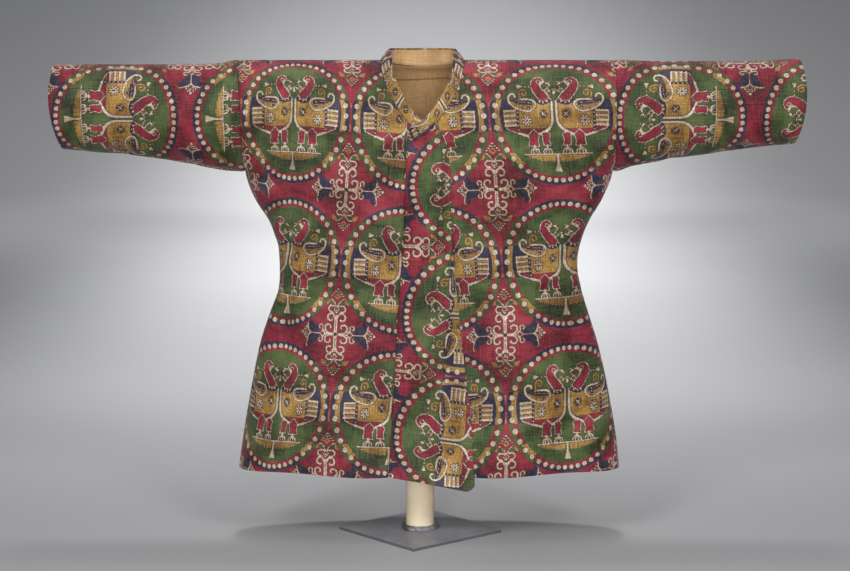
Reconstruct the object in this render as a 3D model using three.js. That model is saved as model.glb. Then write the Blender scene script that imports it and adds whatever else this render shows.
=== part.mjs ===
// A child's open-fronted coat of patterned silk, filled out with no wearer, standing on a museum
// display stand: a steel plate, a painted post and a bent bar that carries the shoulders and sleeves.
// Millimetres, +Z up, the coat's front towards -Y, so the wearer's right side lies at -X.
// The origin is on the floor, under the middle of the coat's sleeve span.
import * as THREE from "three";

// ---- driving dimensions --------------------------------------------------------------------

const SEAM_GAP = 0.3; // between two pieces sewn together
const CLOTH = 1.5; // silk and its lining, as one wall
const LINING = 1.0; // the silk that shows inside the neck
const STRIP_LIFT = 2.0; // how far the front strip lies above the front that it covers
const SHOULDER_Z = 531.5;
const ARMHOLE_HEIGHT = 123;
const ARMHOLE_DEPTH = 45; // half of the armhole, front to back
const ARMPIT_Z = SHOULDER_Z - ARMHOLE_HEIGHT;
const SECTION_POWER = 2.4; // 2 is an ellipse; more is squarer, as the body's sections are
const NECK = { middle: -4.6, halfWidth: 46, frontDrop: 80, backDrop: 5 };
const NECK_ENTRY_DROP = 65; // where the strip's seam and its free edge meet the neckline
const NECK_MID_DROP = 73; // halfway from there to the neckline's lowest point

// Side outline and depth of the body, by height.
const BODY = [
  { z: 42, left: 213.5, right: 220.5, front: 73, back: 66 },
  { z: 78, left: 211.5, right: 217, front: 71, back: 64 },
  { z: 104, left: 208, right: 214.5, front: 70, back: 62 },
  { z: 145, left: 201, right: 207.5, front: 68, back: 59 },
  { z: 187, left: 193, right: 199, front: 66, back: 57 },
  { z: 222, left: 185, right: 190, front: 63, back: 53 },
  { z: 253, left: 174.5, right: 180, front: 60, back: 49 },
  { z: 278, left: 165.5, right: 172.5, front: 58, back: 46 },
  { z: 304, left: 164, right: 168, front: 58, back: 45 },
  { z: 329, left: 166, right: 171, front: 59, back: 46 },
  { z: 354, left: 175, right: 180.5, front: 61, back: 48 },
  { z: 379, left: 191, right: 195, front: 62, back: 50 },
  { z: 408.5, left: 201, right: 206, front: 62, back: 52 },
  { z: 449, left: 201.5, right: 206, front: 60, back: 53 },
  { z: 531.5, left: 205.5, right: 206.5, front: 60, back: 53 },
];

// Heights of the rows, as drops below the shoulder down to the armpit, then as heights to the hem.
const UPPER_DROPS = [0, 1.5, 6, 15, 27, 40, 52, 65, 73, 80, 95, 110, 119, ARMHOLE_HEIGHT];
const LOWER_HEIGHTS = [386, 361, 335, 310, 285, 260, 234, 207, 178, 145, 111, 78];
const HEM_Z = 78;
const HEM_WAVES = { rise: 1.6, length: 150, shift: 35 };

// The seam between the wearer's right front and the strip, the strip's free edge, and the edge of
// the wearer's left front, which lies under the strip.
const FRONT_EDGES = [
  { z: 31, seam: -44, free: 55, under: 6 },
  { z: 78, seam: -42.5, free: 52, under: 5 },
  { z: 145, seam: -37.6, free: 47.7, under: 3.5 },
  { z: 187, seam: -35, free: 42.5, under: 2.6 },
  { z: 258, seam: -31.3, free: 34.8, under: 1 },
  { z: 322, seam: -26.2, free: 28.5, under: -0.6 },
  { z: 365, seam: -24.3, free: 26.4, under: -2 },
  { z: 408, seam: -22.7, free: 26, under: -3.2 },
  { z: 435, seam: -21.9, free: 22.4, under: -4 },
  { z: 452, seam: -21.4, free: 17, under: -4.6 },
  { z: 467, seam: -21.4, free: 12.2, under: -4.6 },
];
const STRIP_HEM = { seamX: -41, seamZ: 78, freeZ: 60.5, roundness: 1.2 };
const STRIP_RAMP = { from: 1, to: 14 }; // distances from its seam over which the strip is lifted

// Sleeve outline along X, measured from the armhole to the cuff.
const SLEEVES = [
  {
    name: "sleeve_wearers_right",
    side: -1,
    cuffTop: 410,
    cuffBottom: 402,
    rings: [
      { x: 201, top: 531.5, bottom: 408.5, depth: 45 },
      { x: 235, top: 527.9, bottom: 411.6, depth: 44 },
      { x: 260, top: 527, bottom: 415.8, depth: 43 },
      { x: 288, top: 526.7, bottom: 421.6, depth: 42 },
      { x: 323, top: 526.7, bottom: 426.3, depth: 41 },
      { x: 363, top: 526.7, bottom: 429.8, depth: 40 },
      { x: 410, top: 526.9, bottom: 433.9, depth: 39 },
    ],
  },
  {
    name: "sleeve_wearers_left",
    side: 1,
    cuffTop: 410,
    cuffBottom: 406,
    rings: [
      { x: 205, top: 531.5, bottom: 408.5, depth: 45 },
      { x: 227, top: 530.9, bottom: 414.3, depth: 44 },
      { x: 258, top: 530.1, bottom: 419.8, depth: 43 },
      { x: 288, top: 530.1, bottom: 424.3, depth: 42 },
      { x: 323, top: 530.1, bottom: 429.3, depth: 41 },
      { x: 363, top: 530.1, bottom: 435.3, depth: 40 },
      { x: 410, top: 532.7, bottom: 439.7, depth: 39 },
    ],
  },
];

// Soft folds of the body: a trough from one point to another on the front or the back.
const BODY_FOLDS = [
  { face: -1, x0: -152, z0: 277, x1: -161, z1: 203, width: 9, depth: 4.2 },
  { face: -1, x0: 154, z0: 271, x1: 165, z1: 197, width: 9, depth: 4.2 },
  { face: -1, x0: -202, z0: 455, x1: -158, z1: 417, width: 11, depth: 3.4 },
  { face: -1, x0: 204, z0: 471, x1: 164, z1: 429, width: 11, depth: 3.8 },
  { face: -1, x0: -161, z0: 327, x1: -118, z1: 315, width: 9, depth: 2.2 },
  { face: -1, x0: 165, z0: 315, x1: 124, z1: 305, width: 9, depth: 2.2 },
  { face: 1, x0: -150, z0: 273, x1: -161, z1: 193, width: 10, depth: 4 },
  { face: 1, x0: 149, z0: 279, x1: 159, z1: 203, width: 10, depth: 4 },
  { face: 1, x0: -200, z0: 461, x1: -150, z1: 413, width: 12, depth: 3.6 },
  { face: 1, x0: 202, z0: 457, x1: 156, z1: 419, width: 12, depth: 3.4 },
  { face: 1, x0: -159, z0: 309, x1: -96, z1: 295, width: 10, depth: 2.4 },
  { face: 1, x0: 161, z0: 321, x1: 102, z1: 301, width: 10, depth: 2.4 },
];

// Soft folds round a sleeve: a trough from one distance and angle to another, 0 degrees being the top
// and 90 the front.
const SLEEVE_FOLDS = [
  { side: 1, x0: 210, a0: 60, x1: 246, a1: 128, width: 9, depth: 3.6 },
  { side: 1, x0: 262, a0: 186, x1: 300, a1: 132, width: 9, depth: 2.4 },
  { side: 1, x0: 330, a0: 176, x1: 352, a1: 140, width: 8, depth: 2.2 },
  { side: 1, x0: 214, a0: 300, x1: 252, a1: 236, width: 10, depth: 3.4 },
  { side: -1, x0: 208, a0: 76, x1: 240, a1: 140, width: 9, depth: 3.0 },
  { side: -1, x0: 256, a0: 178, x1: 292, a1: 128, width: 9, depth: 2.4 },
  { side: -1, x0: 330, a0: 182, x1: 356, a1: 148, width: 8, depth: 2.0 },
  { side: -1, x0: 212, a0: 292, x1: 248, a1: 232, width: 10, depth: 3.2 },
];

// The collar: how far its top edge stands from the neckline, from the front point (0) to the middle
// of the back (1): towards the middle, backwards and upwards.
const COLLAR = [
  { at: 0, inwards: 0, back: 2.5, up: 15.5 },
  { at: 0.16, inwards: 9, back: 3, up: 11 },
  { at: 0.32, inwards: 12.5, back: 5, up: 10 },
  { at: 0.48, inwards: 13, back: 7, up: 8.5 },
  { at: 0.6, inwards: 12, back: 6, up: 8 },
  { at: 0.68, inwards: 10, back: 3, up: 10.5 },
  { at: 0.76, inwards: 7, back: 1, up: 13.5 },
  { at: 0.88, inwards: 3, back: 0, up: 16.5 },
  { at: 1, inwards: 0, back: -0.5, up: 18 },
];

const STAND = {
  x: -7.5,
  plateSide: 130,
  plateThickness: 4,
  plateTurn: 40.6, // degrees, so that a corner points to the front
  postRadius: 16,
  beadRadius: 21,
  beadHeight: 5,
  barRadius: 9,
  barMiddleZ: 433,
  barSteps: 44,
};

// The bent bar's line, from the wearer's right to left: up is a height above the bar's middle, and
// down is a drop below the level arm on that side.
const BAR_LINE = [
  { x: -385, down: 0 },
  { x: -250, down: 0 },
  { x: -128, down: 0 },
  { x: -98, down: 9 },
  { x: -62, up: 41 },
  { x: -34, up: 10 },
  { x: STAND.x, up: 0 },
  { x: 18, up: 10 },
  { x: 48, up: 41 },
  { x: 86, down: 9 },
  { x: 118, down: 0 },
  { x: 250, down: 0 },
  { x: 385, down: 0 },
];

// ---- colours -------------------------------------------------------------------------------

const samite = new THREE.MeshStandardMaterial({ color: 0x9c2a3c, roughness: 0.75, metalness: 0 });
const liningSilk = new THREE.MeshStandardMaterial({ color: 0xa37a42, roughness: 0.7, metalness: 0 });
const creamPaint = new THREE.MeshStandardMaterial({ color: 0xd8cbb0, roughness: 0.45, metalness: 0 });
const plateSteel = new THREE.MeshStandardMaterial({ color: 0x5b5a60, roughness: 0.5, metalness: 0.6 });
const beadMetal = new THREE.MeshStandardMaterial({ color: 0x6d6c72, roughness: 0.3, metalness: 0.7 });

// ---- small helpers -------------------------------------------------------------------------

const lerp = THREE.MathUtils.lerp;
const radians = THREE.MathUtils.degToRad;
const vector = (x, y, z) => new THREE.Vector3(x, y, z);
const range = (n) => Array.from({ length: n }, (_, i) => i);

// A smooth curve through one column of a table, against the table's first column.
function through(table, along, column, at) {
  const last = table.length - 1;
  let i = 0;
  while (i < last - 1 && at > table[i + 1][along]) i += 1;
  const slope = (k) => {
    const a = table[Math.max(k - 1, 0)];
    const b = table[Math.min(k + 1, last)];
    return (b[column] - a[column]) / (b[along] - a[along]);
  };
  const from = table[i];
  const to = table[i + 1];
  const span = to[along] - from[along];
  const t = Math.min(Math.max((at - from[along]) / span, 0), 1);
  const t2 = t * t;
  const t3 = t2 * t;
  return (
    (2 * t3 - 3 * t2 + 1) * from[column] +
    (t3 - 2 * t2 + t) * span * slope(i) +
    (3 * t2 - 2 * t3) * to[column] +
    (t3 - t2) * span * slope(i + 1)
  );
}

// Depth of a trough at a point, both in one flat pair of coordinates.
function trough(u, v, u0, v0, u1, v1, width, depth) {
  const length2 = (u1 - u0) ** 2 + (v1 - v0) ** 2;
  const t = ((u - u0) * (u1 - u0) + (v - v0) * (v1 - v0)) / length2;
  const along = Math.min(Math.max(t, 0), 1);
  const away2 = (u - u0 - along * (u1 - u0)) ** 2 + (v - v0 - along * (v1 - v0)) ** 2;
  return depth * Math.exp(-away2 / (width * width));
}

// ---- the body's surface --------------------------------------------------------------------

const halfWidth = (x, z) => through(BODY, "z", x < 0 ? "left" : "right", z);
const edge = (name, z) => through(FRONT_EDGES, "z", name, z);
const neckHalfWidth = (drop) =>
  NECK.halfWidth * Math.max(1 - (Math.min(drop, NECK.frontDrop) / NECK.frontDrop) ** 1.6, 0) ** 0.8;
const armholeDepth = (drop) => {
  const half = ARMHOLE_HEIGHT / 2;
  return drop < ARMHOLE_HEIGHT ? ARMHOLE_DEPTH * Math.sqrt(Math.max(1 - ((drop - half) / half) ** 2, 0)) : 0;
};
const hemWave = (x) => HEM_WAVES.rise * Math.sin(((x + HEM_WAVES.shift) / HEM_WAVES.length) * 2 * Math.PI);

// A point of the coat's outer surface. face is -1 for the front and 1 for the back; share runs from
// 0 in the middle to -1 or 1 at the side seam or armhole.
function bodyPoint(face, share, z) {
  const n = SECTION_POWER;
  const s = Math.min(Math.abs(share), 1);
  const x = share * halfWidth(share, z);
  const drop = SHOULDER_Z - z;
  const round = (1 - Math.max(1 - drop / ARMHOLE_HEIGHT, 0) ** n) ** (1 / n);
  const middle = through(BODY, "z", face < 0 ? "front" : "back", z) * round;
  const side = armholeDepth(drop);
  const depth = (middle ** n * (1 - s ** n) + side ** n * s ** n) ** (1 / n);
  const sunk = BODY_FOLDS.filter((f) => f.face === face).reduce(
    (sum, f) => sum + trough(x, z, f.x0, f.z0, f.x1, f.z1, f.width, f.depth),
    0,
  );
  const soft = Math.min(depth / 20, 1); // no fold reaches a seam
  return vector(x, face * (SEAM_GAP / 2 + depth - sunk * soft), z);
}

const shareOf = (x, z) => x / halfWidth(x, z);
const frontPoint = (x, z) => bodyPoint(-1, shareOf(x, z), z);

// Shares from one X to the side, evenly spaced in the section's own angle.
function sharesTo(side, innerX, z, columns) {
  const n = SECTION_POWER;
  const inner = shareOf(innerX, z) * side;
  const innerAngle = Math.asin(Math.sign(inner) * Math.abs(inner) ** (n / 2));
  return range(columns + 1).map((i) => {
    const sine = Math.sin(lerp(innerAngle, Math.PI / 2, i / columns));
    return side * Math.sign(sine) * Math.abs(sine) ** (2 / n);
  });
}

// ---- cloth walls ---------------------------------------------------------------------------

// Normals of a grid of points, from each point's neighbours.
function gridNormals(grid, outwards, around = false) {
  const rows = grid.length;
  const columns = grid[0].length;
  return grid.map((row, r) =>
    row.map((point, c) => {
      const up = grid[Math.max(r - 1, 0)][c];
      const down = grid[Math.min(r + 1, rows - 1)][c];
      const before = around ? row[(c + columns - 1) % columns] : row[Math.max(c - 1, 0)];
      const after = around ? row[(c + 1) % columns] : row[Math.min(c + 1, columns - 1)];
      const normal = after.clone().sub(before).cross(down.clone().sub(up)).normalize();
      return normal.dot(outwards(point)) < 0 ? normal.negate() : normal;
    }),
  );
}

const moved = (grid, normals, by) =>
  grid.map((row, r) => row.map((point, c) => point.clone().addScaledVector(normals[r][c], by)));

// A closed wall between an outer and an inner grid of points.
function wall(outer, inner, around = false) {
  const rows = outer.length;
  const columns = outer[0].length;
  const points = [...outer.flat(), ...inner.flat()];
  const out = (r, c) => r * columns + (c % columns);
  const inn = (r, c) => rows * columns + out(r, c);
  const faces = [];
  const quad = (a, b, c, d) => faces.push(a, b, c, a, c, d);
  const spans = around ? columns : columns - 1;
  for (let r = 0; r < rows - 1; r += 1) {
    for (let c = 0; c < spans; c += 1) {
      quad(out(r, c), out(r + 1, c), out(r + 1, c + 1), out(r, c + 1));
      quad(inn(r, c), inn(r, c + 1), inn(r + 1, c + 1), inn(r + 1, c));
    }
  }
  for (let c = 0; c < spans; c += 1) {
    quad(out(0, c), out(0, c + 1), inn(0, c + 1), inn(0, c));
    quad(out(rows - 1, c + 1), out(rows - 1, c), inn(rows - 1, c), inn(rows - 1, c + 1));
  }
  if (!around) {
    for (let r = 0; r < rows - 1; r += 1) {
      quad(out(r + 1, 0), out(r, 0), inn(r, 0), inn(r + 1, 0));
      quad(out(r, spans), out(r + 1, spans), inn(r + 1, spans), inn(r, spans));
    }
  }
  return closed(points, faces);
}

// A geometry whose faces point out, whichever way its grid ran.
function closed(points, faces) {
  let volume = 0;
  for (let i = 0; i < faces.length; i += 3) {
    const [a, b, c] = [points[faces[i]], points[faces[i + 1]], points[faces[i + 2]]];
    volume += a.dot(b.clone().cross(c));
  }
  const geometry = new THREE.BufferGeometry().setFromPoints(points);
  geometry.setIndex(volume < 0 ? faces.slice().reverse() : faces);
  return geometry;
}

const coat = new THREE.Group();
function add(name, geometry, material, group = coat) {
  const mesh = new THREE.Mesh(geometry, material);
  mesh.name = name;
  group.add(mesh);
  return mesh;
}

// Turns the normals of a body panel's edges so that sewn edges face each other squarely: straight up
// at the shoulder, in the armhole's plane above the armpit, and straight out at the side seam.
function squareEdges(normals, heights, sideColumns) {
  normals.forEach((row, r) => {
    const above = heights[r] > ARMPIT_Z + 0.01;
    const corner = Math.abs(heights[r] - ARMPIT_Z) < 0.01;
    if (r === 0) row.forEach((normal) => normal.set(normal.x * 0.2, 0, 1).normalize());
    sideColumns.forEach((c) => {
      const normal = row[c];
      if (corner) normal.set(0, 0, -1);
      else if (above) normal.setX(0).normalize();
      else normal.setY(0).normalize();
    });
  });
}

const HEIGHTS = [...UPPER_DROPS.map((drop) => SHOULDER_Z - drop), ...LOWER_HEIGHTS];
const isHem = (z) => z === HEM_Z;

// ---- the pieces ----------------------------------------------------------------------------

// One front, from its inner edge to the side seam.
function front(name, side, innerX, columns = 10) {
  const grid = HEIGHTS.map((z) => {
    const shares = sharesTo(side, innerX(z), z, columns);
    return shares.map((share) => {
      const point = bodyPoint(-1, share, z);
      if (isHem(z)) point.z += hemWave(point.x);
      if (z > ARMPIT_Z - 0.01 && share === shares[columns]) point.x -= side * (SEAM_GAP / 2);
      return point;
    });
  });
  const normals = gridNormals(grid, () => vector(side * 0.2, -1, 0.4));
  squareEdges(normals, HEIGHTS, [columns]);
  add(name, wall(grid, moved(grid, normals, -CLOTH)), samite);
}

// The neckline and, below it, the seam with the strip.
const rightInner = (z) =>
  SHOULDER_Z - z <= NECK_ENTRY_DROP
    ? NECK.middle - neckHalfWidth(SHOULDER_Z - z)
    : edge("seam", z) - SEAM_GAP / 2;
// The neckline and, below it, the edge that the strip hides.
const leftInner = (z) =>
  SHOULDER_Z - z <= NECK.frontDrop ? NECK.middle + neckHalfWidth(SHOULDER_Z - z) : edge("under", z);

// How far the back's top edge lies below the shoulder: a shallow curve across the neck.
const backNeckDrop = (x) => NECK.backDrop * Math.max(1 - ((x - NECK.middle) / NECK.halfWidth) ** 2, 0);

// The back's columns: a few across the neck, then the rest out to each side seam.
const NECK_COLUMNS = 4;
const SIDE_COLUMNS = 9;
function backShares(level) {
  const neckEdge = (side) => NECK.middle + side * NECK.halfWidth;
  const across = range(2 * NECK_COLUMNS + 1).map((i) => {
    const x = lerp(neckEdge(-1), neckEdge(1), i / (2 * NECK_COLUMNS));
    return shareOf(x, level);
  });
  const outwards = (side) => sharesTo(side, neckEdge(side), level, SIDE_COLUMNS).slice(1);
  return [...outwards(-1).reverse(), ...across, ...outwards(1)];
}

function backGrid() {
  const ease = 15; // the drop below which rows run level again
  return HEIGHTS.map((level) =>
    backShares(level).map((share) => {
      const x = share * halfWidth(share, level);
      const drop = SHOULDER_Z - level;
      const lowered = backNeckDrop(x) * Math.max(1 - drop / ease, 0);
      const point = bodyPoint(1, share, level - lowered);
      if (isHem(level)) point.z += hemWave(-point.x);
      if (level > ARMPIT_Z - 0.01 && Math.abs(share) === 1) point.x -= share * (SEAM_GAP / 2);
      return point;
    }),
  );
}

function back() {
  const grid = backGrid();
  const last = grid[0].length - 1;
  const normals = gridNormals(grid, (p) => vector(p.x * 0.002, 1, 0.4));
  const neckNormals = normals[0].map((normal) => normal.clone());
  squareEdges(normals, HEIGHTS, [0, last]);
  // Across the neck the top edge isn't a shoulder seam, so it keeps the cloth's own slope.
  grid[0].forEach((point, c) => {
    if (Math.abs(point.x - NECK.middle) < NECK.halfWidth) normals[0][c].copy(neckNormals[c]);
  });
  add("back", wall(grid, moved(grid, normals, -CLOTH)), samite);

  // The lining shows inside the neck; it hangs just inside the back, short of every seam.
  const inside = (row) => row.slice(2, last - 1);
  const kept = (rows) => rows.slice(1, -1).map(inside);
  const hung = kept(grid);
  const hungNormals = kept(normals);
  const outer = moved(hung, hungNormals, -(CLOTH + SEAM_GAP));
  const inner = moved(hung, hungNormals, -(CLOTH + SEAM_GAP + LINING));
  add("back_lining", wall(outer, inner), liningSilk);
}

// Where the strip's top edge, the fronts and the collar share points of the neckline.
const NECK_ENTRY_HALF = neckHalfWidth(NECK_ENTRY_DROP);
const NECK_MID_HALF = neckHalfWidth(NECK_MID_DROP);

// The narrow shaped piece sewn to the wearer's right front, which laps over the left one.
function strip() {
  const heights = HEIGHTS.filter((z) => z < SHOULDER_Z - NECK.frontDrop - 0.01);
  const topHalves = [-NECK_ENTRY_HALF, -NECK_MID_HALF, 0, NECK_MID_HALF, NECK_ENTRY_HALF];
  const topDrops = [NECK_ENTRY_DROP, NECK_MID_DROP, NECK.frontDrop, NECK_MID_DROP, NECK_ENTRY_DROP];
  const gap = SEAM_GAP / 2;
  const hemSeamZ = STRIP_HEM.seamZ + hemWave(STRIP_HEM.seamX);
  const lifted = (x, z, seamX) => {
    const step = 4;
    const point = frontPoint(x, z);
    const across = frontPoint(x + step, z).sub(frontPoint(x - step, z));
    const upwards = frontPoint(x, z + step).sub(frontPoint(x, z - step));
    const normal = across.cross(upwards).normalize();
    const ramp = THREE.MathUtils.smoothstep(x - seamX, STRIP_RAMP.from, STRIP_RAMP.to);
    point.addScaledVector(normal, STRIP_LIFT * ramp);
    return { point, normal };
  };
  const top = topHalves.map((half, i) => {
    const shift = i === 0 ? gap : 0;
    const seamX = NECK.middle - NECK_ENTRY_HALF;
    return lifted(NECK.middle + half + shift, SHOULDER_Z - topDrops[i], seamX);
  });
  const rows = heights.map((level) =>
    topHalves.map((_, i) => {
      const u = i / (topHalves.length - 1);
      const z = isHem(level) ? lerp(hemSeamZ, STRIP_HEM.freeZ, u ** STRIP_HEM.roundness) : level;
      const seamX = edge("seam", z);
      return lifted(lerp(seamX + gap, edge("free", z), u), z, seamX);
    }),
  );
  const all = [top, ...rows];
  const outer = all.map((row) => row.map((cell) => cell.point));
  const normals = all.map((row) => row.map((cell) => cell.normal));
  add("front_strip", wall(outer, moved(outer, normals, -CLOTH)), samite);
}

// The neckline from the front point round one side to the middle of the back, as points of the
// panels' own edges.
function neckline(side) {
  const drops = UPPER_DROPS.filter((drop) => drop <= NECK.frontDrop).reverse();
  const frontHalf = drops.map((drop) =>
    frontPoint(NECK.middle + side * neckHalfWidth(drop), SHOULDER_Z - drop),
  );
  const middle = SIDE_COLUMNS + NECK_COLUMNS;
  const top = backGrid()[0];
  const backHalf = range(NECK_COLUMNS).map((i) => top[middle + side * (NECK_COLUMNS - 1 - i)].clone());
  return [...frontHalf, ...backHalf];
}

function collar() {
  const half = (side) => {
    const points = neckline(side);
    const lengths = points.map((p, i) => (i ? p.distanceTo(points[i - 1]) : 0));
    const whole = lengths.reduce((sum, d) => sum + d, 0);
    let run = 0;
    return points.map((seam, i) => {
      run += lengths[i];
      const at = run / whole;
      const rise = vector(
        -side * through(COLLAR, "at", "inwards", at),
        through(COLLAR, "at", "back", at),
        through(COLLAR, "at", "up", at),
      );
      const foot = seam.clone().addScaledVector(rise.clone().normalize(), SEAM_GAP * 1.3);
      if (i === 0) foot.x += side * SEAM_GAP;
      const head = foot.clone().add(rise);
      return [foot, foot.clone().lerp(head, 0.5), head];
    });
  };
  const left = half(-1);
  const right = half(1).slice(0, -1).reverse();
  const grid = [...left, ...right];
  const middle = vector(NECK.middle, -10, SHOULDER_Z - 30);
  const normals = gridNormals(grid, (p) => p.clone().sub(middle));
  const ends = [normals[0], normals[normals.length - 1]];
  ends.forEach((row) => row.forEach((normal) => normal.setX(0).normalize()));
  add("collar", wall(grid, moved(grid, normals, -CLOTH)), samite);
}

function sleeve({ name, side, cuffTop, cuffBottom, rings }) {
  const stations = [0, 0.14, 0.28, 0.42, 0.58, 0.74, 0.88, 1];
  // The same angles as the armhole's rows, so that the two edges match point for point.
  const frontAngles = UPPER_DROPS.map((drop) => Math.acos(1 - (2 * drop) / ARMHOLE_HEIGHT));
  const backAngles = frontAngles.slice(1, -1).map((angle) => 2 * Math.PI - angle).reverse();
  const angles = [...frontAngles, ...backAngles];
  const grid = stations.map((t) =>
    angles.map((angle) => {
      const low = (1 - Math.cos(angle)) / 2;
      const start = halfWidth(side, SHOULDER_Z - low * ARMHOLE_HEIGHT) + SEAM_GAP / 2;
      const x = lerp(start, lerp(cuffTop, cuffBottom, low), t);
      const at = Math.max(x, rings[0].x);
      const top = t ? through(rings, "x", "top", at) : SHOULDER_Z;
      const bottom = t ? through(rings, "x", "bottom", at) : ARMPIT_Z;
      const degrees = THREE.MathUtils.radToDeg(angle);
      const girth = 0.9; // millimetres round the sleeve for each degree
      const sunk = SLEEVE_FOLDS.filter((f) => f.side === side).reduce(
        (sum, f) =>
          sum + trough(x, degrees * girth, f.x0, f.a0 * girth, f.x1, f.a1 * girth, f.width, f.depth),
        0,
      );
      const full = (top - bottom) / 2;
      const held = t > 0 && t < 1 ? sunk : 0; // the seam and the cuff keep their own shape
      const depth = through(rings, "x", "depth", at) - held;
      const y = -depth * Math.sin(angle);
      return vector(side * x, y, (top + bottom) / 2 + (full - held * 0.5) * Math.cos(angle));
    }),
  );
  const normals = gridNormals(grid, (p) => vector(0, p.y, p.z - 465), true);
  normals[0].forEach((normal) => normal.setX(0).normalize());
  add(name, wall(grid, moved(grid, normals, -CLOTH), true), samite);
}

// ---- the stand -----------------------------------------------------------------------------

function stand(barLowest) {
  const group = new THREE.Group();
  group.position.x = STAND.x;
  coat.add(group);
  const { plateSide, plateThickness, postRadius } = STAND;
  const plate = new THREE.BoxGeometry(plateSide, plateSide, plateThickness);
  const plateMesh = add("base_plate", plate, plateSteel, group);
  plateMesh.position.z = plateThickness / 2;
  plateMesh.rotation.z = radians(STAND.plateTurn);

  const foot = plateThickness + SEAM_GAP;
  const head = barLowest - SEAM_GAP;
  const post = new THREE.CylinderGeometry(postRadius, postRadius, head - foot, 32);
  const postMesh = add("post", post, creamPaint, group);
  postMesh.rotation.x = Math.PI / 2;
  postMesh.position.z = (foot + head) / 2;

  const inner = postRadius + SEAM_GAP;
  const outer = STAND.beadRadius;
  const profile = [
    [inner, 0],
    [outer, 0],
    [outer - 0.6, STAND.beadHeight * 0.5],
    [outer - 2.4, STAND.beadHeight * 0.88],
    [inner + 0.6, STAND.beadHeight],
    [inner, STAND.beadHeight],
    [inner, 0],
  ].map(([r, h]) => new THREE.Vector2(r, h));
  const bead = add("weld_bead", new THREE.LatheGeometry(profile, 32), beadMetal, group);
  bead.rotation.x = Math.PI / 2;
  bead.position.z = foot;
}

// The bent bar: low behind the neck opening, then level inside the sleeves, just under their tops.
// It gives the height of its lowest point, where the post carries it.
function bar() {
  const { barRadius, barMiddleZ, barSteps } = STAND;
  const clear = CLOTH + SEAM_GAP + barRadius;
  const arms = SLEEVES.map((s) => Math.min(...s.rings.map((ring) => ring.top)) - clear);
  const points = BAR_LINE.map(({ x, up, down }) => {
    const arm = arms[x < STAND.x ? 0 : 1];
    return vector(x, 0, down === undefined ? barMiddleZ + up : arm - down);
  });
  const path = new THREE.CatmullRomCurve3(points, false, "centripetal");
  const sides = 12;
  const section = new THREE.Shape(
    range(sides).map((i) => {
      const angle = (i / sides) * 2 * Math.PI;
      return new THREE.Vector2(Math.cos(angle) * barRadius, Math.sin(angle) * barRadius);
    }),
  );
  const tube = new THREE.ExtrudeGeometry(section, { steps: barSteps, extrudePath: path });
  add("shoulder_bar", tube, creamPaint);
  tube.computeBoundingBox();
  return tube.boundingBox.min.z;
}

front("front_wearers_right", -1, rightInner);
front("front_wearers_left", 1, leftInner);
strip();
back();
collar();
SLEEVES.forEach(sleeve);
stand(bar());

export default coat;
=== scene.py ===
"""A child's silk coat, woven with pearl roundels and paired ducks, on a post stand.

Lengths are millimetres until a mesh is made. Each cloth piece is a thin shell on a smooth version
of its solid's surface. The weave's design is drawn here with distance functions, which the fine
outer face of each shell carries as attributes, and the silk's material turns them into dyes.
"""
import math

import bpy
import numpy as np
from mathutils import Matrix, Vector


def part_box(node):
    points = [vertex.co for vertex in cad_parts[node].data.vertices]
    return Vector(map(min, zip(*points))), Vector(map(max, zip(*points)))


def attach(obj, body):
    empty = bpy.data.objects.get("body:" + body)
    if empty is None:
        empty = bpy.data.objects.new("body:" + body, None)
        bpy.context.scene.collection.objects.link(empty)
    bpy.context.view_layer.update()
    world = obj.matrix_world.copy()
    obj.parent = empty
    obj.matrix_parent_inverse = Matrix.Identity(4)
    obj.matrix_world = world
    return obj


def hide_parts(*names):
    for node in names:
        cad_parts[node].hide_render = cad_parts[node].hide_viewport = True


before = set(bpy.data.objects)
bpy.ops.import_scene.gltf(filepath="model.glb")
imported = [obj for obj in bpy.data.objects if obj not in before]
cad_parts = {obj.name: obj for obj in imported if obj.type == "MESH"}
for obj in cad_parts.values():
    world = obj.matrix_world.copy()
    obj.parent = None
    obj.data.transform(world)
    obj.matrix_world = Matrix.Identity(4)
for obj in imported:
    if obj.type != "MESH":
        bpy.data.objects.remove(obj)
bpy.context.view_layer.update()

# ---- driving dimensions --------------------------------------------------------------------

MM = 0.001
AXIS = 0.01  # a turned form's line starts this far from its axis, to leave no point on it
PHOTO_WIDTH_PX = 850
SENSOR_MM = 36.0
CAMERA = {"x": -1.9, "y": -2130.0, "z": 540.5, "down_degrees": 6.95, "focal_px": 1919.0}

CLOTH = 1.5  # the silk with its lining
LINING_CLOTH = 1.0  # the lining where it shows by itself
SEAM_GAP = 0.3
STRIP_LIFT = 2.0
SHOULDER_Z = 531.5
ARMHOLE_HEIGHT = 123.0
ARMHOLE_DEPTH = 45.0
ARMPIT_Z = SHOULDER_Z - ARMHOLE_HEIGHT
SECTION_POWER = 2.4
NECK = {"middle": -4.6, "half_width": 46.0, "front_drop": 80.0, "back_drop": 5.0, "entry_drop": 65.0}
HEM_Z = 78.0
HEM_WAVES = {"rise": 1.6, "length": 150.0, "shift": 35.0}
HEM_WAVES_REACH = 60.0  # how far above the hem its waves fade out
STRIP_HEM = {"seam": 78.0, "free": 60.5, "seam_x": -41}
STRIP_CORNER = {"from": 0.86, "rise": 9, "power": 2.6}  # its rounding, from a share of its width
SEAM_GROOVE = {"depth": 1.1, "width": 1.7}  # how far the cloth rolls in at a seam
NECK_DIP_REACH = 15.0  # how far down the back the dip of its neckline fades out

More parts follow.
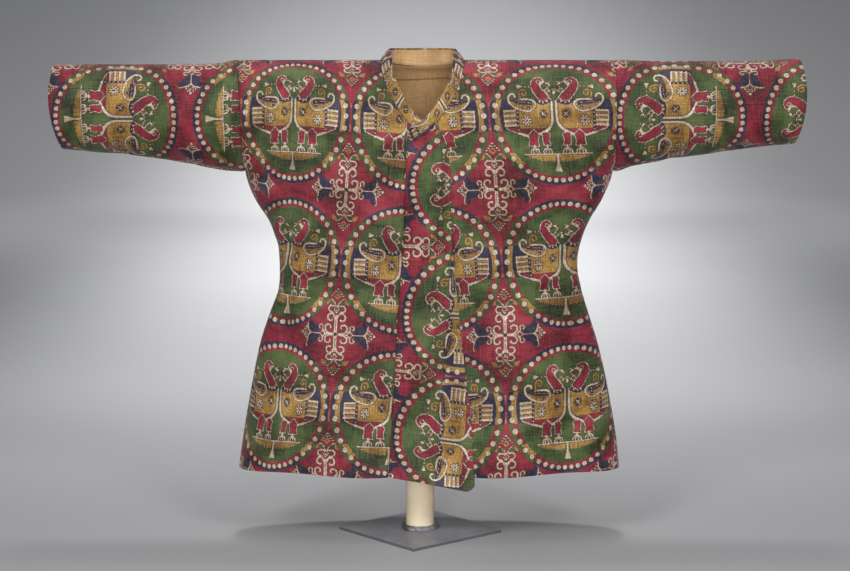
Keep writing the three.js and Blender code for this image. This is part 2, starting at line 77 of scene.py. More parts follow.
# Each kind of piece: the flat size that its cloth was cut to, in metres, the spacing of its outer
# face's points, and the lengths that these are spread over. For back and lining that is a half.
CUT = {
    "front": {"flat": (0.235, 0.49), "step": 1.1, "across": 235},
    "back": {"flat": (0.52, 0.49), "step": 1.7, "across": 260},
    "strip": {"flat": (0.1, 0.41), "step": 1.0, "across": 92, "down": 405},
    "sleeve": {"flat": (0.33, 0.21), "step": 1.25, "around": 335, "down": 206},
    "collar": {"width": 0.02, "step": 1.0, "along": 135},
    "lining": {"flat": (0.48, 0.45), "step": 2.8, "across": 230},
}


def table(columns, rows):
    """Rows of numbers as one array for each named column."""
    values = np.array(rows, float).T
    return dict(zip(columns.split(), values))


BODY = table(
    "z left right front back",
    [
        (42, 213.5, 220.5, 73, 66),
        (78, 211.5, 217, 71, 64),
        (104, 208, 214.5, 70, 62),
        (145, 201, 207.5, 68, 59),
        (187, 193, 199, 66, 57),
        (222, 185, 190, 63, 53),
        (253, 174.5, 180, 60, 49),
        (278, 165.5, 172.5, 58, 46),
        (304, 164, 168, 58, 45),
        (329, 166, 171, 59, 46),
        (354, 175, 180.5, 61, 48),
        (379, 191, 195, 62, 50),
        (408.5, 201, 206, 62, 52),
        (449, 201.5, 206, 60, 53),
        (531.5, 205.5, 206.5, 60, 53),
    ],
)

FRONT_EDGES = table(
    "z seam free under",
    [
        (31, -44, 55, 6),
        (78, -42.5, 52, 5),
        (145, -37.6, 47.7, 3.5),
        (187, -35, 42.5, 2.6),
        (258, -31.3, 34.8, 1),
        (322, -26.2, 28.5, -0.6),
        (365, -24.3, 26.4, -2),
        (408, -22.7, 26, -3.2),
        (435, -21.9, 22.4, -4),
        (452, -21.4, 17, -4.6),
        (467, -21.4, 12.2, -4.6),
    ],
)

SLEEVES = {
    -1: {
        "cuff": (410, 402),
        "rings": table(
            "x top bottom depth",
            [
                (201, 531.5, 408.5, 45),
                (235, 527.9, 411.6, 44),
                (260, 527, 415.8, 43),
                (288, 526.7, 421.6, 42),
                (323, 526.7, 426.3, 41),
                (363, 526.7, 429.8, 40),
                (410, 526.9, 433.9, 39),
            ],
        ),
    },
    1: {
        "cuff": (410, 406),
        "rings": table(
            "x top bottom depth",
            [
                (205, 531.5, 408.5, 45),
                (227, 530.9, 414.3, 44),
                (258, 530.1, 419.8, 43),
                (288, 530.1, 424.3, 42),
                (323, 530.1, 429.3, 41),
                (363, 530.1, 435.3, 40),
                (410, 532.7, 439.7, 39),
            ],
        ),
    },
}

COLLAR = table(
    "at inwards back up",
    [
        (0, 0, 2.5, 15.5),
        (0.16, 6, 3, 12),
        (0.32, 8, 5, 11),
        (0.48, 10.5, 7, 9),
        (0.6, 12, 6, 8),
        (0.68, 10, 3, 10.5),
        (0.76, 7, 1, 13.5),
        (0.88, 3, 0, 16.5),
        (1, 0, -0.5, 18),
    ],
)

LINING_SEAM_Z = 510.0
LINING_NARROWED = 0.93  # the lining that is made ends inside the side seams
LINING_HEM = {"rise": 10, "reach": 40}
LINING_LIP = 4  # rows of the lining that stand up inside the collar's foot, 1 mm apart
LINING_CREASES = [
    (-52, 511.5, 44, 508, 1.8, -2.0),
    (-20, 470, -16, 440, 4, -1.2),
    (8, 500, 14, 450, 5, -1.0),
    (-34, 526, -27, 513, 2.6, -1.6),
    (-14, 527, -11, 514, 2.2, -1.2),
    (24, 526, 21, 512, 2.6, -1.6),
    (-30, 503, -14, 478, 3, -1.2),
    (30, 505, 12, 486, 3, -1.2),
]
COLLAR_CROSSING = {"overrun": 12.0, "slant_to": 0.13, "lift": 3.9, "lift_over": (0.2, 0.04)}
# Where the band lies in the weave's repeat, how full its fold is, and its dark edging: how wide
# that is at the end and at the foot, and how far it runs along the foot.
COLLAR_BAND = {"starts": 2, "height": 17, "shift": 42, "fullness": 0.9}
COLLAR_EDGING = {"end": 2.4, "foot": 3.0, "run": 30}

# ---- the woven design's own sizes ----------------------------------------------------------

PITCH_ACROSS = 139.5
PITCH_UP = 158.5
RING = {"half_width": 63.7, "middle": 9.5, "up": 61.0, "down": 71.5}
PEARL_RADIUS = 3.2
PEARLS = 42
PEARL_CROWDING = 0.12  # how much closer the pearls are set above and below than at the sides
OUTER_BAND = 4.9
INNER_BAND = 5.1
BODY_ZONE = (-7.5, 27.0)  # the heights between which the bands and the ground change their dyes
LOW_ZONE = (-43, -31)  # the heights between which the inner band changes again
POLE_ZONES = (-52, 57)  # below the one and above the other the outer band is navy too
SIDE_ZONE = 43  # beyond this distance from the axis the ground's body zone is navy
CROSS_UP = 89.0  # from the middle of a roundel's ducks to the middle of the cross above it
FIELD_LIMIT = 2.5  # how far from an edge the distance fields are kept
PICK = 0.8  # the weave steps this much in height from weft to weft
WARP_END = 1.0  # and this much across, from warp to warp
RAGGED_ACROSS = 0.3  # how far the steps reach
RAGGED_UP = 0.25
REPEAT_MIDDLE = 4.0  # the height halfway between two rows' crosses, from the ducks' middle
CROSS_SQUEEZE = 1.12  # the lower half of a cross is this much shorter than the upper
TWILL_RIB = 1.7

# How the repeat lies on each front, by height: x of the axes of the inner and outer columns and
# of the line midway between them, and how much the cloth is squeezed beyond the outer axis.
HANG = {
    -1: table(
        "z inner mid outer far",
        [
            (95, -42.4, -111.5, -171.8, 0.74),
            (150, -37.9, -106.6, -163.8, 0.75),
            (200, -32.0, -102.2, -160.2, 0.76),
            (260, -29.0, -98.6, -155.3, 0.77),
            (314, -26.4, -94.0, -152.0, 0.78),
            (352, -25.0, -90.6, -147.0, 0.79),
            (392, -22.5, -87.0, -145.9, 0.8),
            (434, -19.1, -84.4, -145.2, 0.81),
            (476, -19.2, -81.7, -144.2, 0.82),
            (508, -19.2, -81.0, -143.2, 0.82),
        ],
    ),
    1: table(
        "z inner mid outer far",
        [
            (95, 21.5, 86.8, 155.9, 1.0),
            (152, 21.3, 86.3, 155.0, 1.0),
            (192, 19.8, 86.0, 154.5, 1.0),
            (262, 18.0, 84.9, 154.0, 1.0),
            (318, 16.0, 81.2, 149.0, 1.02),
            (353, 12.0, 78.1, 146.0, 1.05),
            (415, 5.0, 73.2, 143.2, 1.08),
            (475, -3.0, 67.0, 137.6, 1.1),
            (509, -5.0, 66.3, 136.9, 1.1),
        ],
    ),
}
# The heights of the rows of ducks at the inner and at the outer axis, from the hem up.
ROWS = {
    -1: {"inner": (143.4, 298.3, 457.5), "outer": (147.1, 307.8, 466.2)},
    1: {"inner": (140.5, 300.5, 461.0), "outer": (146.7, 305.9, 463.8)},
}
BACK_ROWS = (146.9, 306.8, 465.0)
SIDE_RISE = (30.0, 20.0, 0.0)  # how fast each row rises beyond the outer axis
FAR_STEP = 30.0  # the distance beyond the outer axis over which its squeeze is measured

# On the strip the design is turned, with the ducks' heads to the strip's seam. a is the distance
# across the repeat, top the x of a roundel's highest point, tilt the slope of the repeat's lines.
STRIP_HANG = table(
    "z a top tilt",
    [
        (77, -53.9, -36.5, 0.14),
        (125.8, 0, -32.6, 0.14),
        (183.6, 53.9, -29, 0.11),
        (194.9, 69.75, -28, 0.1),
        (256.5, 139.5, -21.9, 0.03),
        (331.2, 209.25, -18.5, 0.02),
        (398.7, 279, -15.4, 0.02),
    ],
)
STRIP_ACROSS = table(
    "run b",
    [(-30, 97), (0, 70.5), (28, 46.3), (47, 25.5), (73, -4), (110, -42)],
)
STRIP_CROSS = 9.0  # how much nearer the crosses lie to the roundels on the strip
SLEEVE_HANG = {
    -1: {"x": -343.0, "along": 0.975, "z": 468.0},
    1: {"x": 280.5, "along": 1.014, "z": 467.0},
}
SLEEVE_ACROSS = 1.04
SLEEVE_OVAL = (42, 52)  # the sleeve's half depth and half height, to space its columns by
CUFF_SWELL = 4.5  # how much further the cuff reaches at its front and back than at its top

# ---- curves and surfaces -------------------------------------------------------------------


def along(tab, name, at):
    """A smooth curve through one column of a table, against the table's first column."""
    keys = next(iter(tab.values()))
    values = tab[name]
    before = np.maximum(np.arange(len(keys)) - 1, 0)
    after = np.minimum(np.arange(len(keys)) + 1, len(keys) - 1)
    slopes = (values[after] - values[before]) / (keys[after] - keys[before])
    i = np.clip(np.searchsorted(keys, at, side="right") - 1, 0, len(keys) - 2)
    span = keys[i + 1] - keys[i]
    t = np.clip((at - keys[i]) / span, 0, 1)
    t2, t3 = t * t, t * t * t
    return (
        (2 * t3 - 3 * t2 + 1) * values[i]
        + (t3 - 2 * t2 + t) * span * slopes[i]
        + (3 * t2 - 2 * t3) * values[i + 1]
        + (t3 - t2) * span * slopes[i + 1]
    )


def bent(at, keys, values):
    """Straight lines through a few points, which run on beyond both ends."""
    order = np.argsort(keys)
    keys, values = np.asarray(keys)[order], np.asarray(values)[order]
    first = (values[1] - values[0]) / (keys[1] - keys[0])
    last = (values[-1] - values[-2]) / (keys[-1] - keys[-2])
    below = np.minimum(at - keys[0], 0)
    above = np.maximum(at - keys[-1], 0)
    return np.interp(at, keys, values) + below * first + above * last


def bent_ends(at, keys, values):
    """Straight lines through many points, which run on beyond both ends one for one."""
    order = np.argsort(keys)
    keys, values = keys[order], values[order]
    beyond = np.minimum(at - keys[0], 0) + np.maximum(at - keys[-1], 0)
    return np.interp(at, keys, values) + beyond


def smoothstep(low, high, x):
    t = np.clip((x - low) / (high - low), 0, 1)
    return t * t * (3 - 2 * t)


def unit(vectors):
    """Vectors brought to the length 1."""
    return vectors / np.maximum(np.linalg.norm(vectors, axis=-1, keepdims=True), 1e-9)


def summed(steps):
    """Running sums from zero, along the last axis."""
    zero = np.zeros(steps.shape[:-1] + (1,))
    return np.concatenate([zero, np.cumsum(steps, axis=-1)], axis=-1)


def pushed(grid, normals, rise):
    """A grid of points moved along its normals."""
    return grid + normals * rise[..., None]


def half_width(x, z):
    """The body's half width on the side where x lies."""
    return np.where(x < 0, along(BODY, "left", z), along(BODY, "right", z))


def neck_half_width(drop):
    """Half of the neck's width in front, at a distance below the shoulder."""
    share = np.minimum(drop, NECK["front_drop"]) / NECK["front_drop"]
    return NECK["half_width"] * np.maximum(1 - share**1.6, 0) ** 0.8


def armhole_depth(drop):
    """The armhole's half depth, at a distance below the shoulder."""
    half = ARMHOLE_HEIGHT / 2
    depth = ARMHOLE_DEPTH * np.sqrt(np.maximum(1 - ((drop - half) / half) ** 2, 0))
    return np.where(drop < ARMHOLE_HEIGHT, depth, 0)


def neck_dip(x):
    """How far the neckline of the back hangs below the shoulder."""
    away = (x - NECK["middle"]) / NECK["half_width"]
    return NECK["back_drop"] * np.maximum(1 - away**2, 0)


def hem_wave(x):
    """How far the hem's slight waves lift it."""
    return HEM_WAVES["rise"] * np.sin((x + HEM_WAVES["shift"]) / HEM_WAVES["length"] * 2 * math.pi)


def body_depth(face, x, z):
    """How far the coat's outer surface lies in front of or behind the middle, without folds."""
    n = SECTION_POWER
    s = np.minimum(np.abs(x) / half_width(x, z), 1)
    drop = SHOULDER_Z - z
    rounding = (1 - np.clip(1 - drop / ARMHOLE_HEIGHT, 0, 1) ** n) ** (1 / n)
    middle = along(BODY, "front" if face < 0 else "back", z) * rounding
    return (middle**n * (1 - s**n) + armhole_depth(drop) ** n * s**n) ** (1 / n)


def smooth_noise(u, v, seed, waves=14, low=0.5, high=1.6):
    """A gentle, even random field about zero, made of a few sine waves; u and v set its scale."""
    rng = np.random.default_rng(seed)
    total = 0
    for _ in range(waves):
        angle = rng.uniform(0, 2 * math.pi)
        rate = rng.uniform(low, high)
        total = total + np.sin(
            (u * math.cos(angle) + v * math.sin(angle)) * rate + rng.uniform(0, 2 * math.pi)
        )
    return total / math.sqrt(waves)


def crease(u, v, row):
    """The rise (or, for a negative size, the sinking) of one crease at each point."""
    u0, v0, u1, v1, width, size = row
    length2 = (u1 - u0) ** 2 + (v1 - v0) ** 2
    t = ((u - u0) * (u1 - u0) + (v - v0) * (v1 - v0)) / length2
    t_in = np.clip(t, 0, 1)
    bend = 0.12 * width * np.sin(t_in * 5 + u0)
    away = np.hypot(u - u0 - t_in * (u1 - u0) + bend, v - v0 - t_in * (v1 - v0) + bend)
    taper = 0.35 + 0.65 * np.sin(np.clip(t_in, 0.02, 0.98) * math.pi)
    return size * taper * np.exp(-((away / width) ** 2))


# Creases of the fronts (face -1) and back (face 1), in x and z: troughs are negative.
BODY_CREASES = {
    -1: [
        (-152, 277, -161, 203, 9, -4.2),
        (154, 271, 165, 197, 9, -4.2),
        (-202, 455, -158, 417, 11, -3.4),
        (204, 471, 164, 429, 11, -3.8),
        (-161, 327, -118, 315, 9, -2.2),
        (165, 315, 124, 305, 9, -2.2),
        (-197, 440, -120, 372, 14, 1.8),
        (-186, 418, -128, 360, 8, -1.6),
        (198, 444, 130, 380, 14, 1.8),
        (188, 412, 138, 356, 8, -1.6),
        (-166, 340, -110, 352, 10, 1.5),
        (-160, 296, -96, 284, 8, -1.5),
        (167, 336, 116, 342, 10, 1.5),
        (162, 292, 108, 276, 8, -1.5),
        (-120, 250, -128, 110, 18, 1.8),
        (-76, 236, -84, 96, 16, -1.6),
        (104, 246, 112, 104, 18, 1.8),
        (150, 180, 160, 90, 14, -1.8),
        (-176, 176, -186, 92, 12, -1.8),
        (-60, 500, -70, 420, 12, -1.2),
        (100, 505, 92, 400, 16, 1.2),
    ],
    1: [
        (-150, 273, -161, 193, 10, -4),
        (149, 279, 159, 203, 10, -4),
        (-200, 461, -150, 413, 12, -3.6),
        (202, 457, 156, 419, 12, -3.4),
        (-159, 309, -96, 295, 10, -2.4),
        (161, 321, 102, 301, 10, -2.4),
    ],
}

# Creases of the sleeves, in distance from the middle and millimetres round from the top.
SLEEVE_GIRTH_PER_DEGREE = 0.9
SLEEVE_CREASES = {
    1: [
        (210, 54, 246, 115, 9, -3.6),
        (262, 167, 300, 119, 9, -2.4),
        (330, 158, 352, 126, 8, -2.2),
        (222, 150, 268, 96, 10, 1.8),
        (286, 150, 330, 108, 8, -1.6),
        (350, 40, 396, 66, 12, 1.4),
        (214, 270, 252, 212, 10, -3.4),
    ],
    -1: [
        (208, 68, 240, 126, 9, -3.0),
        (256, 160, 292, 115, 9, -2.4),
        (330, 164, 356, 133, 8, -2.0),
        (220, 152, 262, 100, 10, 1.8),
        (284, 148, 326, 104, 8, -1.6),
        (346, 36, 392, 60, 12, 1.4),
        (212, 263, 248, 209, 10, -3.2),
    ],
}

# ---- drawing the weave's design ------------------------------------------------------------

DYES = ("green", "navy", "ochre", "ivory")  # the ground, and the ducks' reds, are crimson


def rounded(points, closed=False, per=4):
    """A curve through a few points, as a denser line of points; extra columns are carried along."""
    points = np.array(points, float)
    before, after = (points[-1:], points[:2]) if closed else (points[:1], points[-1:])
    padded = np.concatenate([before, points, after])
    out = []
    for p0, p1, p2, p3 in zip(padded, padded[1:], padded[2:], padded[3:]):
        for t in np.arange(per) / per:
            square = (2 * p0 - 5 * p1 + 4 * p2 - p3) * t**2
            cube = (3 * p1 - p0 - 3 * p2 + p3) * t**3
            out.append(0.5 * (2 * p1 + (p2 - p0) * t + square + cube))
    if not closed:
        out.append(points[-1])
    return np.array(out)


def to_stretch(u, v, start, end):
    """Each point's nearest place on a straight stretch, as a share of it, and how far away it is."""
    (x0, y0), (x1, y1) = start, end
    dx, dy = x1 - x0, y1 - y0
    t = np.clip(((u - x0) * dx + (v - y0) * dy) / max(dx * dx + dy * dy, 1e-9), 0, 1)
    return t, np.hypot(u - x0 - t * dx, v - y0 - t * dy)


class Loom:
    """Dyes laid over each other at a set of points. A field is the distance inside its dye's edge."""

    def __init__(self, u, v):
        self.u = u
        self.v = v
        self.fields = {dye: np.full(len(u), -FIELD_LIMIT) for dye in DYES}

    def near(self, points, margin):
        """Which points lie near some others, and their places."""
        low = np.min(points, axis=0) - margin - FIELD_LIMIT
        high = np.max(points, axis=0) + margin + FIELD_LIMIT
        inside = (self.u > low[0]) & (self.u < high[0]) & (self.v > low[1]) & (self.v < high[1])
        where = np.nonzero(inside)[0]
        return where, self.u[where], self.v[where]

    def lay(self, dye, distance, where=slice(None)):
        """Puts a dye where its distance is above zero, over the dyes that lie there."""
        for name, field in self.fields.items():
            old = field[where]
            new = np.maximum(old, distance) if name == dye else np.minimum(old, -distance)
            field[where] = np.clip(new, -FIELD_LIMIT, FIELD_LIMIT)

    def line(self, dye, points, radius, curved=True):
        """A stroke along points; radius is one number, or one for each point."""
        path = np.column_stack([points, np.broadcast_to(radius, len(points))]).astype(float)
        if curved and len(points) > 2:
            path = rounded(path)
        where, u, v = self.near(path[:, :2], path[:, 2].max())
        best = np.full(len(where), -1e9)
        for start, end in zip(path[:-1], path[1:]):
            t, away = to_stretch(u, v, start[:2], end[:2])
            best = np.maximum(best, start[2] + (end[2] - start[2]) * t - away)
        self.lay(dye, best, where)

    def shape(self, dye, points, curved=False, edge=None, edge_width=1.0):
        """A filled outline, with an edge of another dye laid just outside it."""
        outline = rounded(points, closed=True) if curved else np.array(points, float)
        where, u, v = self.near(outline, edge_width if edge else 0)
        nearest = np.full(len(where), 1e9)
        inside = np.zeros(len(where), bool)
        for start, end in zip(outline, np.roll(outline, -1, axis=0)):
            _, away = to_stretch(u, v, start, end)
            nearest = np.minimum(nearest, away)
            crosses = (start[1] > v) != (end[1] > v)
            dx, dy = end - start
            level = start[0] + (v - start[1]) * dx / (dy if abs(dy) > 1e-9 else 1e-9)
            inside ^= crosses & (u < level)
        distance = np.where(inside, nearest, -nearest)
        if edge:
            self.lay(edge, distance + edge_width, where)
        self.lay(dye, distance, where)

    def dot(self, dye, at, radius):
        where, u, v = self.near([at], radius)
        self.lay(dye, radius - np.hypot(u - at[0], v - at[1]), where)

    def diamond(self, dye, at, radius):
        where, u, v = self.near([at], radius)
        taxi = np.abs(u - at[0]) + np.abs(v - at[1])
        self.lay(dye, (radius - taxi) * 0.707, where)

    def ring(self, dye, at, radius, half):
        where, u, v = self.near([at], radius + half)
        self.lay(dye, half - np.abs(np.hypot(u - at[0], v - at[1]) - radius), where)


def between(value, low, high):
    """How far inside two limits each value lies."""
    return np.minimum(value - low, high - value)


def ring_inside(u, v, grown=0.0):
    """How far points lie inside the roundel's line of pearls, which is taller below than above."""
    rx = RING["half_width"] + grown
    ry = np.where(v > RING["middle"], RING["up"], RING["down"]) + grown
    away = np.hypot(u / rx, (v - RING["middle"]) / ry)
    return (1 - away) * (rx + ry) / 2


def weave_ring(loom):
    """The roundel's ground and its ring of pearls, with the dyes changing by height."""
    u, v = loom.u, loom.v
    body_zone = between(v, *BODY_ZONE)
    pole_zone = np.maximum(POLE_ZONES[0] - v, v - POLE_ZONES[1])
    outer = ring_inside(u, v, OUTER_BAND)
    middle = ring_inside(u, v)
    ground = ring_inside(u, v, -INNER_BAND)
    loom.lay("green", outer)
    loom.lay("navy", np.minimum(outer, body_zone))
    loom.lay("navy", np.minimum(outer, pole_zone))
    loom.lay("crimson", middle)
    loom.lay("ochre", np.minimum(middle, body_zone))
    loom.lay("ochre", np.minimum(middle, between(v, *LOW_ZONE)))
    loom.lay("green", ground)
    loom.lay("navy", np.minimum(ground, np.minimum(body_zone, u - SIDE_ZONE)))
    # the pearl nearest to each point
    ry = np.where(v > RING["middle"], RING["up"], RING["down"])
    angle = np.arctan2((v - RING["middle"]) / ry, u / RING["half_width"])
    turn = angle
    for _ in range(5):
        turn = angle - PEARL_CROWDING * np.sin(2 * turn)
    step = 2 * math.pi / PEARLS
    turn = np.round(turn / step) * step
    nearest = turn + PEARL_CROWDING * np.sin(2 * turn)
    across = RING["half_width"] * np.cos(nearest)
    up = RING["middle"] + np.where(np.sin(nearest) > 0, RING["up"], RING["down"]) * np.sin(nearest)
    radius = PEARL_RADIUS * (1 - 0.2 * np.sin(nearest) ** 2)
    loom.lay("ivory", radius - np.hypot(u - across, v - up))


def weave_rosette(loom, at, radius, light):
    """An eight-pointed flower: light petals in a dark eight, or a dark star with a light saltire."""

    def spoke(angle, across, up):
        return at[0] + radius * across * math.cos(angle), at[1] + radius * up * math.sin(angle)

    angles = [math.pi / 8 + k * math.pi / 4 for k in range(8)]
    for angle in angles:
        loom.line("navy", [at, spoke(angle, 0.93, 1.12)], 1.5 if light else [1.6, 0.7])
    if light:
        for angle in angles:
            loom.line("ivory", [spoke(angle, 0.3, 0.3), spoke(angle, 0.84, 1)], [0.55, 0.95])
        return
    for side in (-1, 1):
        ends = [(at[0] - 2.1, at[1] - 2.4 * side), (at[0] + 2.1, at[1] + 2.4 * side)]
        loom.line("ivory", ends, 0.55)
    for k in range(8):
        loom.dot("ivory", spoke(k * math.pi / 4, 0.98, 1.08), 0.45)


def weave_duck(loom):
    """One of the two ducks, in distance from the pair's axis and height from its middle."""
    # body, belly and tail
    body = [(2.4, 25), (2.4, 6), (4, 0), (8, -5), (38.5, -5), (38.5, 16), (27, 21), (12, 24)]
    loom.shape("ochre", body)
    loom.shape("crimson", [(6.4, -4.8), (39, -4.8), (39, -9.4), (30, -12.6), (18, -12), (10, -8.4)])
    loom.shape("ochre", [(41.2, -2.6), (41.2, 14.6), (53.6, 15.2), (54, 8), (52.6, -3)])
    loom.shape("crimson", [(41.2, -2.8), (52.4, -2.8), (51.6, -6.2), (41.2, -9.6)])
    for k in range(4):
        level = 14.4 - 5.3 * k
        loom.line("navy", [(41.6, level - 1.9), (52.6, level - 2.5)], 0.4)
        loom.line("ivory", [(41.8, level), (53.4, level - 0.5)], 1.2)
    loom.line("ivory", [(53.9, 14.8), (53.5, 4), (51.9, -5.4), (41, -10), (31, -12.8)], 0.6, False)
    loom.line("ivory", [(31, -12.9), (36.5, -11.2), (40.4, -9.9)], 1.3, False)
    loom.shape("navy", [(38, -9.2), (40.9, -9.2), (40.9, 14.4), (38, 14.4)])
    for k in range(5):
        loom.dot("ivory", (39.5, 12.2 - 4.7 * k), 0.95)
    # breast
    loom.line("navy", [(4.2, 24), (4.1, 8), (4.9, 1.5), (7.8, -3.2), (13, -6.8), (19, -9.6)], 0.5)
    breast = [(2.3, 25.6), (2.3, 8), (3.2, 0.6), (6.3, -5), (11.4, -8.8), (17.4, -11.6)]
    loom.line("ivory", breast, [1.15, 1.3, 1.4, 1.5, 1.6, 1.5])
    # legs and feet
    legs = {
        10.4: [
            (9.8, -9.6), (14.6, -10.4), (14.2, -17), (13.8, -23),
            (6.8, -23.4), (8.4, -18.6), (6.9, -12),
        ],
        24.2: [
            (23.7, -6.8), (28.9, -12), (28.6, -18), (29.8, -23.4),
            (19.2, -24), (20.6, -19), (18.6, -12),
        ],
    }
    outer_toes = [(-4.6, -31.4), (-3.8, -28.4), (0, -26.8), (3.8, -28.4), (4.6, -31.4)]
    inner_toes = [(-1.8, -31.6), (-1.6, -29.4), (0, -28.2), (1.6, -29.4), (1.8, -31.6)]
    for middle, leg in legs.items():
        loom.shape("crimson", leg, edge="ivory", edge_width=1.1)
        loom.line("ivory", [(middle, -23.6), (middle, -26.6)], 1.0)
        loom.line("ivory", [(middle + x, y) for x, y in outer_toes], 0.75)
        loom.line("ivory", [(middle + x, y) for x, y in inner_toes], 0.6)
    # wing
    wing = [
        (41.6, 29.6), (42.4, 32.2), (45.2, 33.2), (48, 31.2), (48.8, 27.7), (47.2, 22.8),
        (41.8, 17.9), (34.5, 14.7), (27.7, 13.6), (22.4, 16.2), (19.8, 20.9), (21.6, 24.9),
        (26.4, 26.7), (37.4, 27),
    ]
    loom.shape("ochre", wing[5:], curved=True, edge="navy", edge_width=1.6)
    upper_wing = [
        (46, 26.6), (44, 23.4), (36, 21.4), (22.6, 19.6),
        (23.4, 24.4), (29, 26.4), (38, 27.2),
    ]
    loom.shape("navy", upper_wing)
    loom.line("crimson", [(29.6, 25.4), (43, 26)], 0.6)
    loom.line("ivory", [(24.6, 22.4), (33, 23.6), (42, 24.8)], 0.4)
    loom.line("navy", [(25, 18.2), (33, 17.6), (42, 21)], 0.5)
    loom.line("ivory", [(30.6, 19.6), (41, 22.4)], 0.36)
    loom.shape("navy", [(25.8, 15), (28.6, 15), (28.6, 24.6), (25.8, 24.6)])
    for k in range(3):
        loom.dot("ivory", (27.2, 16.6 + 3.2 * k), 0.85)
    loom.line("ivory", wing, 1.05)
    # flowers on the body
    weave_rosette(loom, (11.6, 10.4), 4.3, False)
    weave_rosette(loom, (30, 3.4), 5.2, True)
    # spiral plume
    spiral = [
        (36.4, 28.2), (37, 33), (35.4, 37), (31.6, 37.4),
        (29.6, 34), (31.4, 31.2), (34, 32), (33.4, 34.6),
    ]
    loom.line("crimson", spiral, 1.1)
    loom.line("ochre", spiral, 0.6)
    # neck, head and beak
    neck = [(10.2, 27.4), (13, 31.2), (17, 36.4), (19.6, 41.6), (19.5, 46.4), (17, 49.2), (14.4, 48.4)]
    neck_radii = [4.9, 4.7, 4.4, 4.1, 3.9, 3.5, 3.0]
    loom.line("ivory", neck, [r + 1.15 for r in neck_radii])
    loom.line("crimson", neck, neck_radii)
    loom.shape("ivory", [(12.4, 46.6), (16.8, 45.2), (14.2, 39.6)])
    loom.ring("ivory", (16.2, 47.4), 2.0, 0.5)
    loom.line("ivory", [(12, 47), (8, 46.2), (3.6, 43.6)], [1.3, 1.0, 0.8])
    loom.line("crimson", [(11, 46.9), (7, 45.9)], 0.35)
    loom.line("ivory", [(6.4, 46.4), (3.4, 47.4)], 0.5)
    # collar of pearls
    loom.line("navy", [(3.6, 26.4), (7.4, 23.8), (11.6, 22.6), (15.4, 23.4), (17.8, 25.6)], 2.4)
    for at in ((7.2, 24.2), (11.4, 22.9), (15.2, 23.9)):
        loom.dot("ivory", at, 1.0)
    upper_edge = [(2.3, 25.6), (5.4, 28.4), (7.4, 25.8), (11.6, 24.8), (15.6, 25.8), (17.6, 28.4)]
    loom.line("ivory", upper_edge, 0.5)
    # ribbon
    loom.line("crimson", [(24.6, 41.6), (33, 41.6)], 0.7)
    for x in (26.4, 30.2):
        loom.dot("ivory", (x, 41.6), 0.95)
    loom.shape("ivory", [(32.6, 41.6), (39.4, 44.4), (39.4, 38.8)])
    # necklace between the beaks
    loom.line("ivory", [(4.6, 42), (6.6, 40)], 0.5)
    loom.diamond("ivory", (7.2, 36.8), 3.7)
    loom.diamond("green", (7.2, 36.8), 2.2)
    loom.dot("ochre", (7.2, 36.8), 0.8)
    loom.line("ivory", [(4.4, 35), (2.2, 37.8), (0, 38.8)], 0.5)
    loom.shape("ivory", [(0, 37.6), (1.7, 34), (0, 32), (-1.7, 34)], curved=True)


def weave_pedestal(loom):
    """The footed stand that the ducks share."""
    loom.shape("ochre", [(-1, -33), (35.4, -32.6), (31, -35.4), (-1, -36.4)])
    for k in range(7):
        middle = 4.6 + 4.2 * k
        depth = -40.4 + 0.15 * k * k
        loom.line("ochre", [(middle, -34.4), (middle, depth)], 1.75)
        loom.dot("ivory", (middle, depth - 0.9), 0.8)
    loom.line("ivory", [(0, -33.4), (35.4, -32.9)], 0.75)
    loom.shape("ivory", [(-1.2, -34), (1.2, -34), (1.1, -43), (4.0, -52.6), (-4.0, -52.6), (-1.1, -43)])


def weave_tie(loom):
    """The upright bar between two roundels of a row; v is height from the ducks' middle."""
    u, v = loom.u, loom.v
    zone = between(v, BODY_ZONE[0] + 1, BODY_ZONE[1] - 3)
    loom.lay("navy", np.minimum(zone, 5.5 - u))
    loom.lay("ochre", np.minimum(zone, 0.9 - u))


